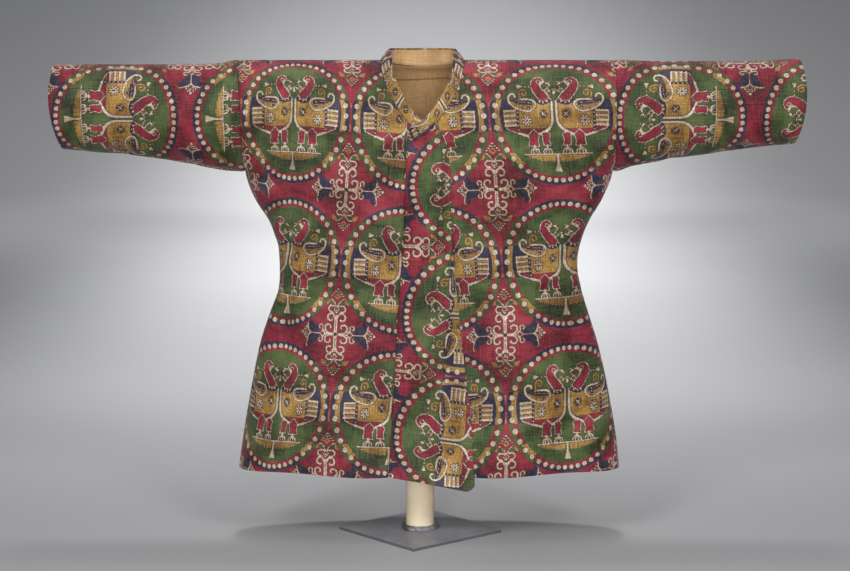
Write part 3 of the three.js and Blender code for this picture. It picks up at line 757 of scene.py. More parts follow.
def weave_cross(loom):
    """The palmette cross between four roundels, drawn once for its four like quarters."""
    # lilies to the sides
    lobe = [
        (20.3, 1), (20.6, 5.6), (23, 9), (26.6, 9), (29.4, 11.4), (31, 16), (33.4, 16.6),
        (34.4, 12), (35, 8), (33, 1),
    ]
    loom.shape("navy", lobe)
    loom.line("ivory", [(35.6, 17), (36.6, 13.4), (35.4, 8), (34.6, 4), (31.4, 0.4)], 0.62)
    loom.line("ivory", [(20, 0), (32, 0)], 0.62)
    for k in range(4):
        loom.dot("ivory", (42.2 - 2.2 * k, 0.9 + 2.4 * k), 1.05)
        if k < 3:
            loom.dot("ivory", (39.4 - 1.6 * k, 0.9 + 2.2 * k), 0.75)
    loom.diamond("ivory", (35.6, 0), 3.4)
    loom.diamond("crimson", (35.6, 0), 2.2)
    loom.dot("ivory", (43.2, 0), 1.3)
    # leaves and dotted tip above and below
    loom.shape("ochre", [(7, 33), (10, 33.2), (16.4, 31.2), (14, 37.6), (9.4, 38.4)])
    leaf = [(0.8, 31), (5, 30.8), (9.4, 33), (8.2, 36.8), (4.6, 36.4), (2, 34.4)]
    loom.shape("green", leaf, edge="ivory", edge_width=0.5)
    loom.line("ivory", [(1, 31.4), (6.8, 38.6), (11.4, 38.2)], 0.5, False)
    for k in range(4):
        loom.dot("ivory", (0.7 + 2.0 * k, 49.4 - 2.5 * k), 1.0)
        if k < 3:
            loom.dot("ivory", (0.6 + 1.8 * k, 46.2 - 2.2 * k), 0.7)
    loom.diamond("ochre", (0, 41.4), 3.6)
    loom.diamond("crimson", (0, 41.4), 1.9)
    # bud and side curls
    loom.line("ivory", [(3, 30.8), (7.6, 30.8), (10, 28), (8.6, 25), (4.6, 24.2)], 0.85)
    loom.shape("ivory", [(0, 31.4), (3.9, 27.2), (0, 22.4), (-3.9, 27.2)])
    loom.shape("crimson", [(0, 29.8), (2.6, 27.2), (0, 24.2), (-2.6, 27.2)])
    loom.dot("ivory", (0, 26.6), 0.9)
    # stem, arms and scrolls
    stem_curl = [(1.6, 18.6), (3.4, 21.8), (7, 22.6), (10, 20), (9.6, 16), (6, 14.6), (4.8, 16)]
    loom.line("ivory", stem_curl, [1.4, 1.1, 1.05, 1.05, 1.0, 0.9, 0.75])
    arm_curl = [(4, 0.6), (9, 1.2), (12.6, 4.4), (12.4, 9), (8.6, 10.4), (5.8, 8.2), (7, 6.2)]
    loom.line("ivory", arm_curl, [1.15, 1.05, 1.05, 1.0, 0.95, 0.85, 0.7])
    loom.line("ivory", [(14.2, 2.6), (16.4, 5), (16, 8.4), (18.6, 10), (20.8, 7.8), (19.6, 5.4)], 0.72)
    loom.diamond("ivory", (16, 0), 4.2)
    loom.diamond("crimson", (16, 0), 2.5)
    loom.line("ivory", [(0, 0), (12, 0)], 1.05)
    loom.line("ivory", [(0, 0), (0, 19.4)], 1.9)
    loom.line("ochre", [(0, 5), (0, 16)], 0.4)
    loom.diamond("navy", (0, 0), 2.6)


def weave(a, b, cross_b=None):
    """The dye fields at points of the cloth: a runs across it and b up it, from a roundel's ducks.

    cross_b is the height to use between the roundels, where that differs.
    """
    shape = a.shape
    a, b = a.ravel(), b.ravel()
    cross_b = b if cross_b is None else cross_b.ravel()
    # the pattern steps from thread to thread, so its edges are a little ragged
    pick = np.floor(b / PICK)
    a = a + RAGGED_ACROSS * np.sin(pick * 12.9898 + 4.1) * np.cos(pick * 78.233)
    end = np.floor(a / WARP_END)
    b = b + RAGGED_UP * np.sin(end * 39.425 + 1.7)
    u = np.abs(a - PITCH_ACROSS * np.round(a / PITCH_ACROSS))
    v = b - PITCH_UP * np.round((b - REPEAT_MIDDLE) / PITCH_UP)
    in_ring = ring_inside(u, v, OUTER_BAND) > -1.2

    roundel = Loom(u[in_ring], v[in_ring])
    weave_ring(roundel)
    weave_pedestal(roundel)
    weave_duck(roundel)
    height = cross_b[~in_ring] - CROSS_UP
    height = height - PITCH_UP * np.round(height / PITCH_UP)
    beside = np.abs(PITCH_ACROSS / 2 - u[~in_ring])
    cross = Loom(beside, np.where(height < 0, -CROSS_SQUEEZE * height, height))
    weave_cross(cross)
    tie = Loom(beside, v[~in_ring])
    tie.fields = cross.fields
    weave_tie(tie)
    fields = {}
    for dye in DYES:
        field = np.zeros(len(u))
        field[in_ring] = roundel.fields[dye]
        field[~in_ring] = cross.fields[dye]
        fields[dye] = field.reshape(shape)
    return fields


# ---- meshes --------------------------------------------------------------------------------


def grid_normals(grid, outwards, around=False):
    """Unit normals of a grid of points, pointing the way that outwards says."""
    down = np.gradient(grid, axis=0)
    if around:
        right = np.roll(grid, -1, axis=1) - np.roll(grid, 1, axis=1)
    else:
        right = np.gradient(grid, axis=1)
    normals = unit(np.cross(down, right))
    middle = normals[grid.shape[0] // 2, 0 if around else grid.shape[1] // 2]
    return normals if np.dot(middle, outwards) > 0 else -normals


INNER_STEP = 4  # the inner face has one row and column for this many of the outer's
UV_NAME = "OFBake"
OUTER_UV = (0.2, 1.0)
RIM_UV = (0.165, 0.195)
INNER_UV = (0.0, 0.16)


def steps(length, step):
    """How many steps a length is cut into: a multiple of INNER_STEP."""
    return INNER_STEP * round(length / step / INNER_STEP)


def quads(rows, columns, start, around, flip):
    """The faces of a grid of points, with their corners' places on the map."""
    wide = columns if around else columns - 1
    r, c = np.meshgrid(np.arange(rows - 1), np.arange(wide), indexing="ij")
    r, c = r.ravel(), c.ravel()
    d = (c + 1) % columns
    corners = [(r, c), (r + 1, c), (r + 1, d), (r, d)]
    index = np.stack([start + i * columns + j for i, j in corners], axis=1)
    ends = ((0, 0), (1, 0), (1, 1), (0, 1))
    uv = [np.stack([(c + k) / wide, 1 - (r + h) / (rows - 1)], axis=1) for h, k in ends]
    uv = np.stack(uv, axis=1)
    if flip:
        index, uv = index[:, ::-1], uv[:, ::-1]
    return index, uv


def rim(fine, coarse, flip, low, high):
    """Triangles between a fine edge and the coarse edge behind it, with a strip of the map."""
    faces = []
    last = len(coarse) - 1
    total = len(fine) - 1

    def corner(kind, k):
        if kind == "fine":
            return fine[k], (k / total, high)
        return coarse[k], (k / last, low)

    for k in range(last):
        a, b = k * INNER_STEP, (k + 1) * INNER_STEP
        middle = (a + b) // 2
        for j in range(a, b):
            near = k if j < middle else k + 1
            faces.append([corner("coarse", near), corner("fine", j + 1), corner("fine", j)])
        faces.append([corner("coarse", k), corner("coarse", k + 1), corner("fine", middle)])
    index = np.array([[c[0] for c in face] for face in faces])
    uv = np.array([[c[1] for c in face] for face in faces])
    if flip:
        index, uv = index[:, ::-1], uv[:, ::-1]
    return index, uv


def in_band(uv, band):
    """Places on the map, pressed into a band of its height."""
    return uv * [1, band[1] - band[0]] + [0, band[0]]


def shell(name, outer, normals, thickness, materials, attributes, around=False, turned_in=0):
    """A closed thin wall: a fine outer face, a plain inner face and rims between them.

    attributes has three values for each point of the outer face. turned_in is how many of the
    inner face's last columns show the outer silk, folded over.
    """
    rows, columns, _ = outer.shape
    assert (rows - 1) % INNER_STEP == 0
    assert (columns if around else columns - 1) % INNER_STEP == 0
    coarse = (outer - normals * thickness)[::INNER_STEP, ::INNER_STEP]
    inner_rows, inner_columns, _ = coarse.shape
    start = rows * columns
    points = np.concatenate([outer.reshape(-1, 3), coarse.reshape(-1, 3)])

    a, b, c = outer[0, 0], outer[1, 0], outer[0, 1]
    flip = np.dot(np.cross(b - a, c - a), normals[0, 0]) < 0
    out = np.arange(start).reshape(rows, columns)
    inn = start + np.arange(inner_rows * inner_columns).reshape(inner_rows, inner_columns)

    face, uv = quads(rows, columns, 0, around, flip)
    groups = [(face, in_band(uv, OUTER_UV), 0)]
    face, uv = quads(inner_rows, inner_columns, start, around, not flip)
    slots = np.ones(len(face), int)
    if turned_in:
        slots.reshape(inner_rows - 1, inner_columns - 1)[:, -turned_in:] = 0
    groups.append((face, in_band(uv, INNER_UV), slots))
    edges = [(out[0], inn[0], not flip), (out[-1], inn[-1], flip)]
    if around:
        edges = [(np.append(o, o[0]), np.append(i, i[0]), f) for o, i, f in edges]
    else:
        edges += [(out[:, 0], inn[:, 0], flip), (out[:, -1], inn[:, -1], not flip)]
    height = (RIM_UV[1] - RIM_UV[0]) / len(edges)
    for k, (fine, back, turned) in enumerate(edges):
        low = RIM_UV[0] + k * height
        groups.append((*rim(fine, back, turned, low, low + height * 0.9), 0))

    mesh = mesh_of(name, points, groups)
    for label, values in attributes.items():
        # the inner face takes the values of the points it lies behind
        inner = values[::INNER_STEP, ::INNER_STEP]
        full = np.concatenate([values.reshape(-1, 3), inner.reshape(-1, 3)])
        made = mesh.attributes.new(label, "FLOAT_VECTOR", "POINT")
        made.data.foreach_set("vector", full.astype(np.float32).ravel())
    mesh.validate()
    return placed(name, mesh, materials)


def mesh_of(name, points, groups):
    """A mesh from groups of faces, each with its corners' places on the map and its slots."""
    mesh = bpy.data.meshes.new(name)
    loops = np.concatenate([face.ravel() for face, _, _ in groups]).astype(np.int32)
    sizes = np.concatenate([np.full(len(face), face.shape[1]) for face, _, _ in groups])
    slots = np.concatenate([np.full(len(face), slot) for face, _, slot in groups])
    mesh.vertices.add(len(points))
    mesh.vertices.foreach_set("co", (points * MM).astype(np.float32).ravel())
    mesh.loops.add(len(loops))
    mesh.loops.foreach_set("vertex_index", loops)
    mesh.polygons.add(len(sizes))
    mesh.polygons.foreach_set("loop_start", summed(sizes)[:-1].astype(np.int32))
    mesh.polygons.foreach_set("material_index", slots.astype(np.int32))
    mesh.update(calc_edges=True)
    layer = mesh.uv_layers.new(name=UV_NAME)
    uvs = np.concatenate([uv.reshape(-1, 2) for _, uv, _ in groups])
    layer.uv.foreach_set("vector", uvs.astype(np.float32).ravel())
    return mesh


def placed(name, mesh, materials):
    """A smooth-shaded object in the scene."""
    mesh.polygons.foreach_set("use_smooth", np.ones(len(mesh.polygons), bool))
    piece = bpy.data.objects.new(name, mesh)
    bpy.context.collection.objects.link(piece)
    for material in materials:
        mesh.materials.append(material)
    return piece


def stands_for(piece, node):
    """Parents the piece to the root body and hides the solid that it is seen in place of."""
    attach(piece, "root")
    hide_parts(node)


def make_cloth(node, grid, normals, materials, place, fields, flat, held="hung", **form):
    """A cloth piece, with its place on the cloth and its dyes as attributes."""
    none = np.zeros(grid.shape[:2])
    attributes = {}
    if fields:
        attributes["dye_a"] = np.stack([fields["green"], fields["navy"], fields["ochre"]], axis=2)
        attributes["dye_b"] = np.stack([fields["ivory"], none, none], axis=2)
    attributes["cloth"] = np.stack([*place, none], axis=2)
    thickness = CLOTH if fields else LINING_CLOTH
    piece = shell(f"{node}_silk", grid, normals, thickness, materials, attributes, **form)
    stands_for(piece, node)


# ---- the body's panels ---------------------------------------------------------------------


def profile(face, first_drop):
    """Heights and the cloth's length from the shoulder, down the middle of a front or back."""
    drops = np.linspace(0, 1, 6000) ** 2 * (SHOULDER_Z - HEM_Z)
    z = SHOULDER_Z - drops
    y = body_depth(face, np.zeros_like(z), z)
    run = summed(np.hypot(np.diff(y), np.diff(z)))
    keep = drops >= first_drop - 0.5
    return z[keep], run[keep]


def row_heights(face, step, first_drop=0.0):
    """Heights of evenly spaced rows, and how far down the cloth each lies."""
    z, run = profile(face, first_drop)
    runs = np.linspace(run[0], run[-1], steps(run[-1] - run[0], step) + 1)
    return np.interp(runs, run, z), runs


def panel_grid(face, inner, outer_side, z, columns, samples=260):
    """Points and cloth lengths of rows that run from inner(z) to the side, evenly spaced."""
    n = SECTION_POWER
    width = half_width(np.full_like(z, outer_side), z)
    share = np.clip(inner * outer_side / width, -1, 1)
    start = np.arcsin(np.sign(share) * np.abs(share) ** (n / 2))
    angle = start[:, None] + (math.pi / 2 - start[:, None]) * np.linspace(0, 1, samples)[None, :]
    sine = np.sin(angle)
    shares = np.sign(sine) * np.abs(sine) ** (2 / n)
    zz = np.repeat(z[:, None], samples, axis=1)
    other_width = half_width(np.full_like(zz, -outer_side), zz)
    x = shares * np.where(shares < 0, other_width, width[:, None]) * outer_side
    y = body_depth(face, x, zz)
    run = summed(np.hypot(np.diff(x), np.diff(y)))
    even = np.linspace(0, 1, columns)
    xs = np.stack([np.interp(even * run[r, -1], run[r], x[r]) for r in range(len(z))])
    lengths = inner[:, None] + outer_side * even[None, :] * run[:, -1:]
    return xs, lengths


def to_points(face, x, z):
    """Points of the outer surface, half a seam's gap off the middle."""
    y = face * (SEAM_GAP / 2 + body_depth(face, x, z))
    return np.stack([x, y, z], axis=2)


def edge_groove(grid, edges, depth=SEAM_GROOVE["depth"], width=SEAM_GROOVE["width"]):
    """How far the cloth rolls in at its sewn edges."""
    from_first = summed(np.linalg.norm(np.diff(grid, axis=1), axis=2))
    from_top = summed(np.linalg.norm(np.diff(grid, axis=0), axis=2).T).T
    away = {"first": from_first, "last": from_first[:, -1:] - from_first, "top": from_top}
    return sum(depth * np.exp(-((away[edge] / width) ** 2)) for edge in edges)


def wrinkled(grid, normals, creases, u, v, seed, edges, roughness=0.35):
    """The grid pushed out and in by creases and by the cloth's own slight unevenness."""
    rise = sum(crease(u, v, row) for row in creases)
    rise = rise + roughness * smooth_noise(u / 16, v / 22, seed)
    rise = rise + roughness * 0.35 * smooth_noise(u / 5, v / 6, seed + 1)
    # no crease reaches further than the cloth may move at a seam
    calm = np.clip(1 - edge_groove(grid, edges, 1, 9.0), 0, 1)
    return pushed(grid, normals, rise * calm - edge_groove(grid, edges))


def squared(normals, z, side_columns):
    """Normals turned so that the edges of pieces sewn together face each other."""
    above = z > ARMPIT_Z
    for c in side_columns:
        normals[above, c, 0] = 0
        normals[~above, c, 1] = 0
        normals[:, c] = unit(normals[:, c])
    normals[0, :, 1] = 0
    normals[0] = unit(normals[0])
    return normals


def front_inner(side, z):
    """X of a front's inner edge: the neckline, and below it the strip's seam or the lapped edge."""
    drop = SHOULDER_Z - z
    neck = NECK["middle"] + side * neck_half_width(drop)
    if side < 0:
        below = along(FRONT_EDGES, "seam", z) - SEAM_GAP / 2
        return np.where(drop <= NECK["entry_drop"], neck, below)
    return np.where(drop <= NECK["front_drop"], neck, along(FRONT_EDGES, "under", z))


def rows_up(face, heights, z, runs):
    """Height in the repeat for cloth whose rows of ducks lie at three heights."""
    low, middle, top = heights
    z = z[:, None]
    below = (z - low) / (middle - low) * PITCH_UP
    above = PITCH_UP + (z - middle) / (top - middle) * PITCH_UP
    # over the top row the cloth bends back to the shoulder, so there its own length counts
    zs, all_runs = profile(face, 0)
    bent_back = 2 * PITCH_UP + np.interp(-top, -zs, all_runs) - runs[:, None]
    return np.where(z < middle, below, np.where(z < top, above, bent_back))


def front_pattern(side, x, lengths, z, runs):
    """Where each point of a front lies in the weave's repeat."""
    hang = HANG[side]
    marks = [along(hang, name, z) for name in ("inner", "mid", "outer")]
    marks.append(marks[2] + side * FAR_STEP * along(hang, "far", z))
    marks = np.stack(marks, axis=1)
    knots = side * np.array([0, PITCH_ACROSS / 2, PITCH_ACROSS, PITCH_ACROSS + FAR_STEP])
    a = np.empty_like(x)
    for r in range(len(z)):
        places = bent_ends(marks[r], x[r], lengths[r])
        a[r] = bent(lengths[r], places, knots)
    share = side * a / PITCH_ACROSS
    heights = []
    for inner, outer, rise in zip(ROWS[side]["inner"], ROWS[side]["outer"], SIDE_RISE):
        level = inner + (outer - inner) * np.clip(share, -0.5, 1)
        heights.append(level + rise * np.maximum(share - 1, 0) ** 2)
    return a, rows_up(-1, heights, z, runs)


def make_front(node, side, materials):
    """One front, from its inner edge round to the side seam."""
    z, runs = row_heights(-1, CUT["front"]["step"])
    inner = front_inner(side, z)
    columns = steps(CUT["front"]["across"], CUT["front"]["step"]) + 1
    x, lengths = panel_grid(-1, inner, side, z, columns)
    zz = np.repeat(z[:, None], columns, axis=1)
    grid = to_points(-1, x, zz)
    grid[..., 2] += smoothstep(HEM_Z + HEM_WAVES_REACH, HEM_Z, zz) * hem_wave(x)
    grid[z > ARMPIT_Z, -1, 0] -= side * SEAM_GAP / 2
    normals = squared(grid_normals(grid, (0, -1, 0)), z, [columns - 1])
    edges = ["last", "top"] + (["first"] if side < 0 else [])
    grid = wrinkled(grid, normals, BODY_CREASES[-1], x, zz, 11 + side, edges)
    a, b = front_pattern(side, x, lengths, z, runs)
    make_cloth(node, grid, normals, materials, (a, b), weave(a, b), CUT["front"]["flat"])


def back_rows(z, cut, narrowed=1.0):
    """X, cloth lengths and heights over the whole back, from the wearer's right to left."""
    middle = np.zeros_like(z)
    columns = steps(cut["across"], cut["step"]) + 1
    right, right_run = panel_grid(1, middle, 1, z, columns)
    left, left_run = panel_grid(1, middle, -1, z, columns)
    x = np.concatenate([left[:, :0:-1], right], axis=1) * narrowed
    lengths = np.concatenate([left_run[:, :0:-1], right_run], axis=1)
    drop = SHOULDER_Z - np.repeat(z[:, None], x.shape[1], axis=1)
    zz = SHOULDER_Z - drop - neck_dip(x) * np.maximum(1 - drop / NECK_DIP_REACH, 0)
    return x, lengths, zz


def make_back(node, materials):
    """The back, in one from side seam to side seam."""
    z, runs = row_heights(1, CUT["back"]["step"])
    x, lengths, zz = back_rows(z, CUT["back"])
    grid = to_points(1, x, zz)
    grid[..., 2] += smoothstep(HEM_Z + HEM_WAVES_REACH, HEM_Z, zz) * hem_wave(-x)
    above = z > ARMPIT_Z
    grid[above, -1, 0] -= SEAM_GAP / 2
    grid[above, 0, 0] += SEAM_GAP / 2
    normals = grid_normals(grid, (0, 1, 0))
    neck_columns = np.abs(x[0] - NECK["middle"]) < NECK["half_width"]
    own = normals[0, neck_columns].copy()
    normals = squared(normals, z, [0, -1])
    normals[0, neck_columns] = own
    grid = wrinkled(grid, normals, BODY_CREASES[1], x, zz, 21, ["first", "last", "top"])
    a = -lengths
    b = rows_up(1, BACK_ROWS, z, runs) * np.ones_like(a)
    make_cloth(node, grid, normals, materials, (a, b), weave(a, b), CUT["back"]["flat"])


def make_strip(node, materials):
    """The lapping strip: the front's surface moved out, with a rounded lower corner."""
    cut = CUT["strip"]
    t = np.linspace(0, 1, steps(cut["down"], cut["step"]) + 1)[:, None]
    u = np.linspace(0, 1, steps(cut["across"], cut["step"]) + 1)[None, :]
    half = neck_half_width(np.array([NECK["entry_drop"]]))[0]
    top_x = NECK["middle"] + (2 * u - 1) * half
    drops = np.linspace(NECK["entry_drop"], NECK["front_drop"], 400)
    top_drop = np.interp(-np.abs(top_x - NECK["middle"]), -neck_half_width(drops), drops)
    seam_z = STRIP_HEM["seam"] + hem_wave(STRIP_HEM["seam_x"])
    foot_z = seam_z + (STRIP_HEM["free"] - STRIP_HEM["seam"]) * u**1.2
    into_corner = np.maximum((u - STRIP_CORNER["from"]) / (1 - STRIP_CORNER["from"]), 0)
    foot_z = foot_z + STRIP_CORNER["rise"] * into_corner ** STRIP_CORNER["power"]
    z = (SHOULDER_Z - top_drop) * (1 - t) + foot_z * t
    seam = along(FRONT_EDGES, "seam", z) + SEAM_GAP / 2
    free = along(FRONT_EDGES, "free", z)
    blend = smoothstep(0.0, 0.05, t)
    x = (top_x + SEAM_GAP * (1 - u)) * (1 - blend) + (seam + (free - seam) * u) * blend
    base = to_points(-1, x, z)
    normals = grid_normals(base, (0, -1, 0))
    lift = STRIP_LIFT * smoothstep(1, 14, x - np.minimum(seam, x[:, :1]))
    grid = pushed(base, normals, lift)
    waves = 0.5 * smooth_noise(x / 30, z / 24, 31)
    waves = waves + 0.9 * smoothstep(0.75, 1, u) * smooth_noise(x / 60, z / 30, 33)
    grid = pushed(grid, normals, waves * smoothstep(0, 18, x - x[:, :1]))
    grid = pushed(grid, normals, -edge_groove(grid, ["first"]))
    run = x - bent(z, STRIP_HANG["z"], STRIP_HANG["top"])
    tilted = z + np.interp(z, STRIP_HANG["z"], STRIP_HANG["tilt"]) * run
    a = bent(tilted, STRIP_HANG["z"], STRIP_HANG["a"])
    b = bent(run, STRIP_ACROSS["run"], STRIP_ACROSS["b"])
    fields = weave(a, b, b + STRIP_CROSS)
    make_cloth(node, grid, normals, materials, (a, b), fields, cut["flat"])


def make_sleeve(node, side, materials):
    """A sleeve in one piece, with its seam underneath."""
    cut = CUT["sleeve"]
    top_x, bottom_x = SLEEVES[side]["cuff"]
    rings = SLEEVES[side]["rings"]
    columns = steps(cut["around"], cut["step"])
    # evenly round the girth, starting from the seam underneath
    turn = np.linspace(-math.pi, math.pi, 2001)
    across, up = SLEEVE_OVAL
    run = summed(np.hypot(np.diff(across * np.sin(turn)), np.diff(up * np.cos(turn))))
    angle = np.interp(np.arange(columns) / columns * run[-1], run, turn)[None, :]
    low = (1 - np.cos(angle)) / 2
    start = half_width(np.full_like(angle, side), SHOULDER_Z - low * ARMHOLE_HEIGHT) + SEAM_GAP / 2
    end = top_x + (bottom_x - top_x) * low + CUFF_SWELL * np.sin(math.pi * low)
    t = np.linspace(0, 1, steps(cut["down"], cut["step"]) + 1)[:, None]
    x = start + (end - start) * t
    at = np.maximum(x, rings["x"][0])
    blend = smoothstep(0, 0.1, t)
    top = SHOULDER_Z + (along(rings, "top", at) - SHOULDER_Z) * blend
    bottom = ARMPIT_Z + (along(rings, "bottom", at) - ARMPIT_Z) * blend
    y = -along(rings, "depth", at) * np.sin(angle)
    z = (top + bottom) / 2 + (top - bottom) / 2 * np.cos(angle)
    grid = np.stack([side * x, y, z], axis=2)
    normals = grid_normals(grid, (0, 0, -1), around=True)
    round_it = np.degrees(angle) % 360 * SLEEVE_GIRTH_PER_DEGREE * np.ones_like(t)
    rise = sum(crease(x, round_it, row) for row in SLEEVE_CREASES[side])
    rise = rise + 0.3 * smooth_noise(x / 18, z / 14, 41 + side)
    rise = rise + 0.12 * smooth_noise(x / 6, z / 5, 44 + side)
    calm = smoothstep(0, 14, (x - start)) * smoothstep(0, 6, (end - x))
    groove = SEAM_GROOVE["depth"] * np.exp(-(((x - start) / SEAM_GROOVE["width"]) ** 2))
    rise = rise * calm - groove
    grid = pushed(grid, normals, rise)
    normals[0, :, 0] = 0
    normals[0] = unit(normals[0])
    # cloth lengths round the sleeve, from the seam underneath
    closed = np.concatenate([grid, grid[:, :1]], axis=1)
    lengths = summed(np.linalg.norm(np.diff(closed, axis=1), axis=2))[:, :-1]
    hang = SLEEVE_HANG[side]
    front = (angle[0] > 0) & (angle[0] < math.pi)
    lines = zip(grid, lengths)
    middles = [np.interp(-hang["z"], -line[front, 2], arc[front]) for line, arc in lines]
    a = (lengths - np.array(middles)[:, None]) / SLEEVE_ACROSS
    b = side * (hang["x"] - side * x) / hang["along"]
    fields = weave(a, b)
    make_cloth(node, grid, normals, materials, (a, b), fields, cut["flat"], around=True)


def neckline(side, count, overrun):
    """Points of the neckline from the front point round one side to the middle of the back.

    overrun is how far the line runs on straight past the front point. Also given: each point's
    share of the neckline, which is below zero on the overrun, and the whole line's length.
    """
    drops = np.linspace(NECK["front_drop"], 0, 200)
    x = NECK["middle"] + side * neck_half_width(drops)
    z = SHOULDER_Z - drops
    front = np.stack([x, -(SEAM_GAP / 2 + body_depth(-1, x, z)), z], axis=1)
    share = np.linspace(1, 0, 100)[1:]
    x = NECK["middle"] + side * share * NECK["half_width"]
    z = SHOULDER_Z - NECK["back_drop"] * (1 - share**2)
    back = np.stack([x, SEAM_GAP / 2 + body_depth(1, x, z), z], axis=1)
    tangent = front[0] - front[12]
    start = front[0] + tangent / np.linalg.norm(tangent) * overrun
    path = np.concatenate([start[None], front, back])
    run = summed(np.linalg.norm(np.diff(path, axis=0), axis=1))
    even = np.linspace(0, 1, count) * run[-1]
    points = np.stack([np.interp(even, run, path[:, k]) for k in range(3)], axis=1)
    return points, (even - overrun) / (run[-1] - overrun), run[-1]


def collar_half(side, count, levels):
    """Half of the collar, from its front end to the middle of the back, and its points' runs."""
    crosses = side > 0
    points, at, length = neckline(side, count, COLLAR_CROSSING["overrun"] if crosses else 0.01)
    # the wearer's left end keeps its slant, and lies over the other end and the strip
    slant = np.maximum(at, COLLAR_CROSSING["slant_to"] if crosses else 0)
    inwards, back, up = (along(COLLAR, name, slant) for name in ("inwards", "back", "up"))
    rise = np.stack([-side * inwards, back, up], axis=1)
    if crosses:
        points[:, 1] -= COLLAR_CROSSING["lift"] * smoothstep(*COLLAR_CROSSING["lift_over"], at)
        rise[:, 1] *= smoothstep(0, 0.2, at)
    foot = points + unit(rise) * SEAM_GAP
    return foot[:, None] + rise[:, None] * levels[None, :, None], np.linspace(0, 1, count) * length


def make_collar(node, materials):
    """The collar: one standing band, whose wearer's left end crosses over the other."""
    cut = CUT["collar"]
    count = steps(cut["along"], cut["step"]) + 1
    # rows lie closer together at the collar's top edge
    levels = 1 - (1 - np.linspace(0, 1, INNER_STEP * 5 + 1)) ** 1.3
    left, left_run = collar_half(-1, count, levels)
    right, right_run = collar_half(1, count, levels)
    grid = np.concatenate([left, right[-2::-1]])
    run = np.concatenate([left_run, left_run[-1] + right_run[-1] - right_run[-2::-1]])[:, None]
    length = run[-1, 0]
    normals = grid_normals(grid, (0, 1, 0))
    grid = pushed(grid, normals, 0.35 * smooth_noise(run / 14, 0 * run, 51))
    # the band is a folded one: it is fullest in its middle
    across = levels[None, :]
    grid = pushed(grid, normals, COLLAR_BAND["fullness"] * np.sin(across * math.pi))
    b = COLLAR_BAND["starts"] + COLLAR_BAND["height"] * across + 0 * run
    a = run - COLLAR_BAND["shift"] + 0 * b
    fields = weave(a, b)
    # a dark edging shows along the foot of the end that crosses, and round that end
    from_end = length - run + 0 * across
    from_foot = COLLAR_BAND["height"] * across + 0 * from_end
    foot_edging = np.minimum(COLLAR_EDGING["run"] - from_end, COLLAR_EDGING["foot"] - from_foot)
    edging = np.maximum(foot_edging, COLLAR_EDGING["end"] - from_end)
    for dye, field in fields.items():
        laid = np.maximum(field, edging) if dye == "navy" else np.minimum(field, -edging)
        fields[dye] = np.clip(laid, -FIELD_LIMIT, FIELD_LIMIT)
    flat = (round(float(length) * MM, 3), cut["width"])
    make_cloth(node, grid, normals, materials, (a, b), fields, flat, held="folded", turned_in=1)


def make_lining(node, materials):
    """The golden silk inside the back, which shows in the neck."""
    cut = CUT["lining"]
    z, _ = row_heights(1, cut["step"], first_drop=1.5)
    x, _, zz = back_rows(z, cut, narrowed=LINING_NARROWED)
    zz = zz + LINING_HEM["rise"] * smoothstep(HEM_Z + LINING_HEM["reach"], HEM_Z, zz)
    grid = to_points(1, x, zz)
    normals = grid_normals(grid, (0, 1, 0))
    inside = grid - normals * (CLOTH + SEAM_GAP)
    rise = sum(crease(x, zz, row) for row in LINING_CREASES)
    rise = rise + 0.4 * smooth_noise(x / 9, zz / 8, 61) - 0.5
    # it sinks in wherever the back does
    followed = sum(crease(x, zz, row) for row in BODY_CREASES[1])
    inside = pushed(inside, normals, np.minimum(rise, 0) + np.minimum(followed, 0))
    # its top edge stands up inside the collar's foot
    neck_z = SHOULDER_Z - neck_dip(x[0])
    neck_y = SEAM_GAP / 2 + body_depth(1, x[0], neck_z) - CLOTH - SEAM_GAP
    neck_end = NECK["half_width"]
    upright = smoothstep(neck_end - 1, neck_end - 7, np.abs(x[0] - NECK["middle"]))[:, None]
    lips = []
    for up in range(LINING_LIP, 0, -1):
        lip = np.stack([x[0], neck_y, neck_z + up - 0.8], axis=1)
        lips.append(inside[0] * (1 - upright) + lip * upright + [0, 0, 0.02 * up])
    inside = np.concatenate([np.stack(lips), inside])
    outwards = unit(normals[0] * (1 - upright) + np.array([0, 1.0, 0]) * upright)
    normals, x, zz = (
        np.concatenate([np.repeat(first[None], LINING_LIP, axis=0), rest])
        for first, rest in ((outwards, normals), (x[0], x), (zz[0], zz))
    )
    make_cloth(node, inside, normals, materials, (x, zz), None, cut["flat"])


# ---- materials -----------------------------------------------------------------------------


def dye_colour(red, green, blue):
    """A colour given as it looks on a screen, 0 to 255, as Blender's linear values."""

    def linear(value):
        value = value / 255
        return value / 12.92 if value <= 0.04045 else ((value + 0.055) / 1.055) ** 2.4

    return (linear(red), linear(green), linear(blue), 1.0)


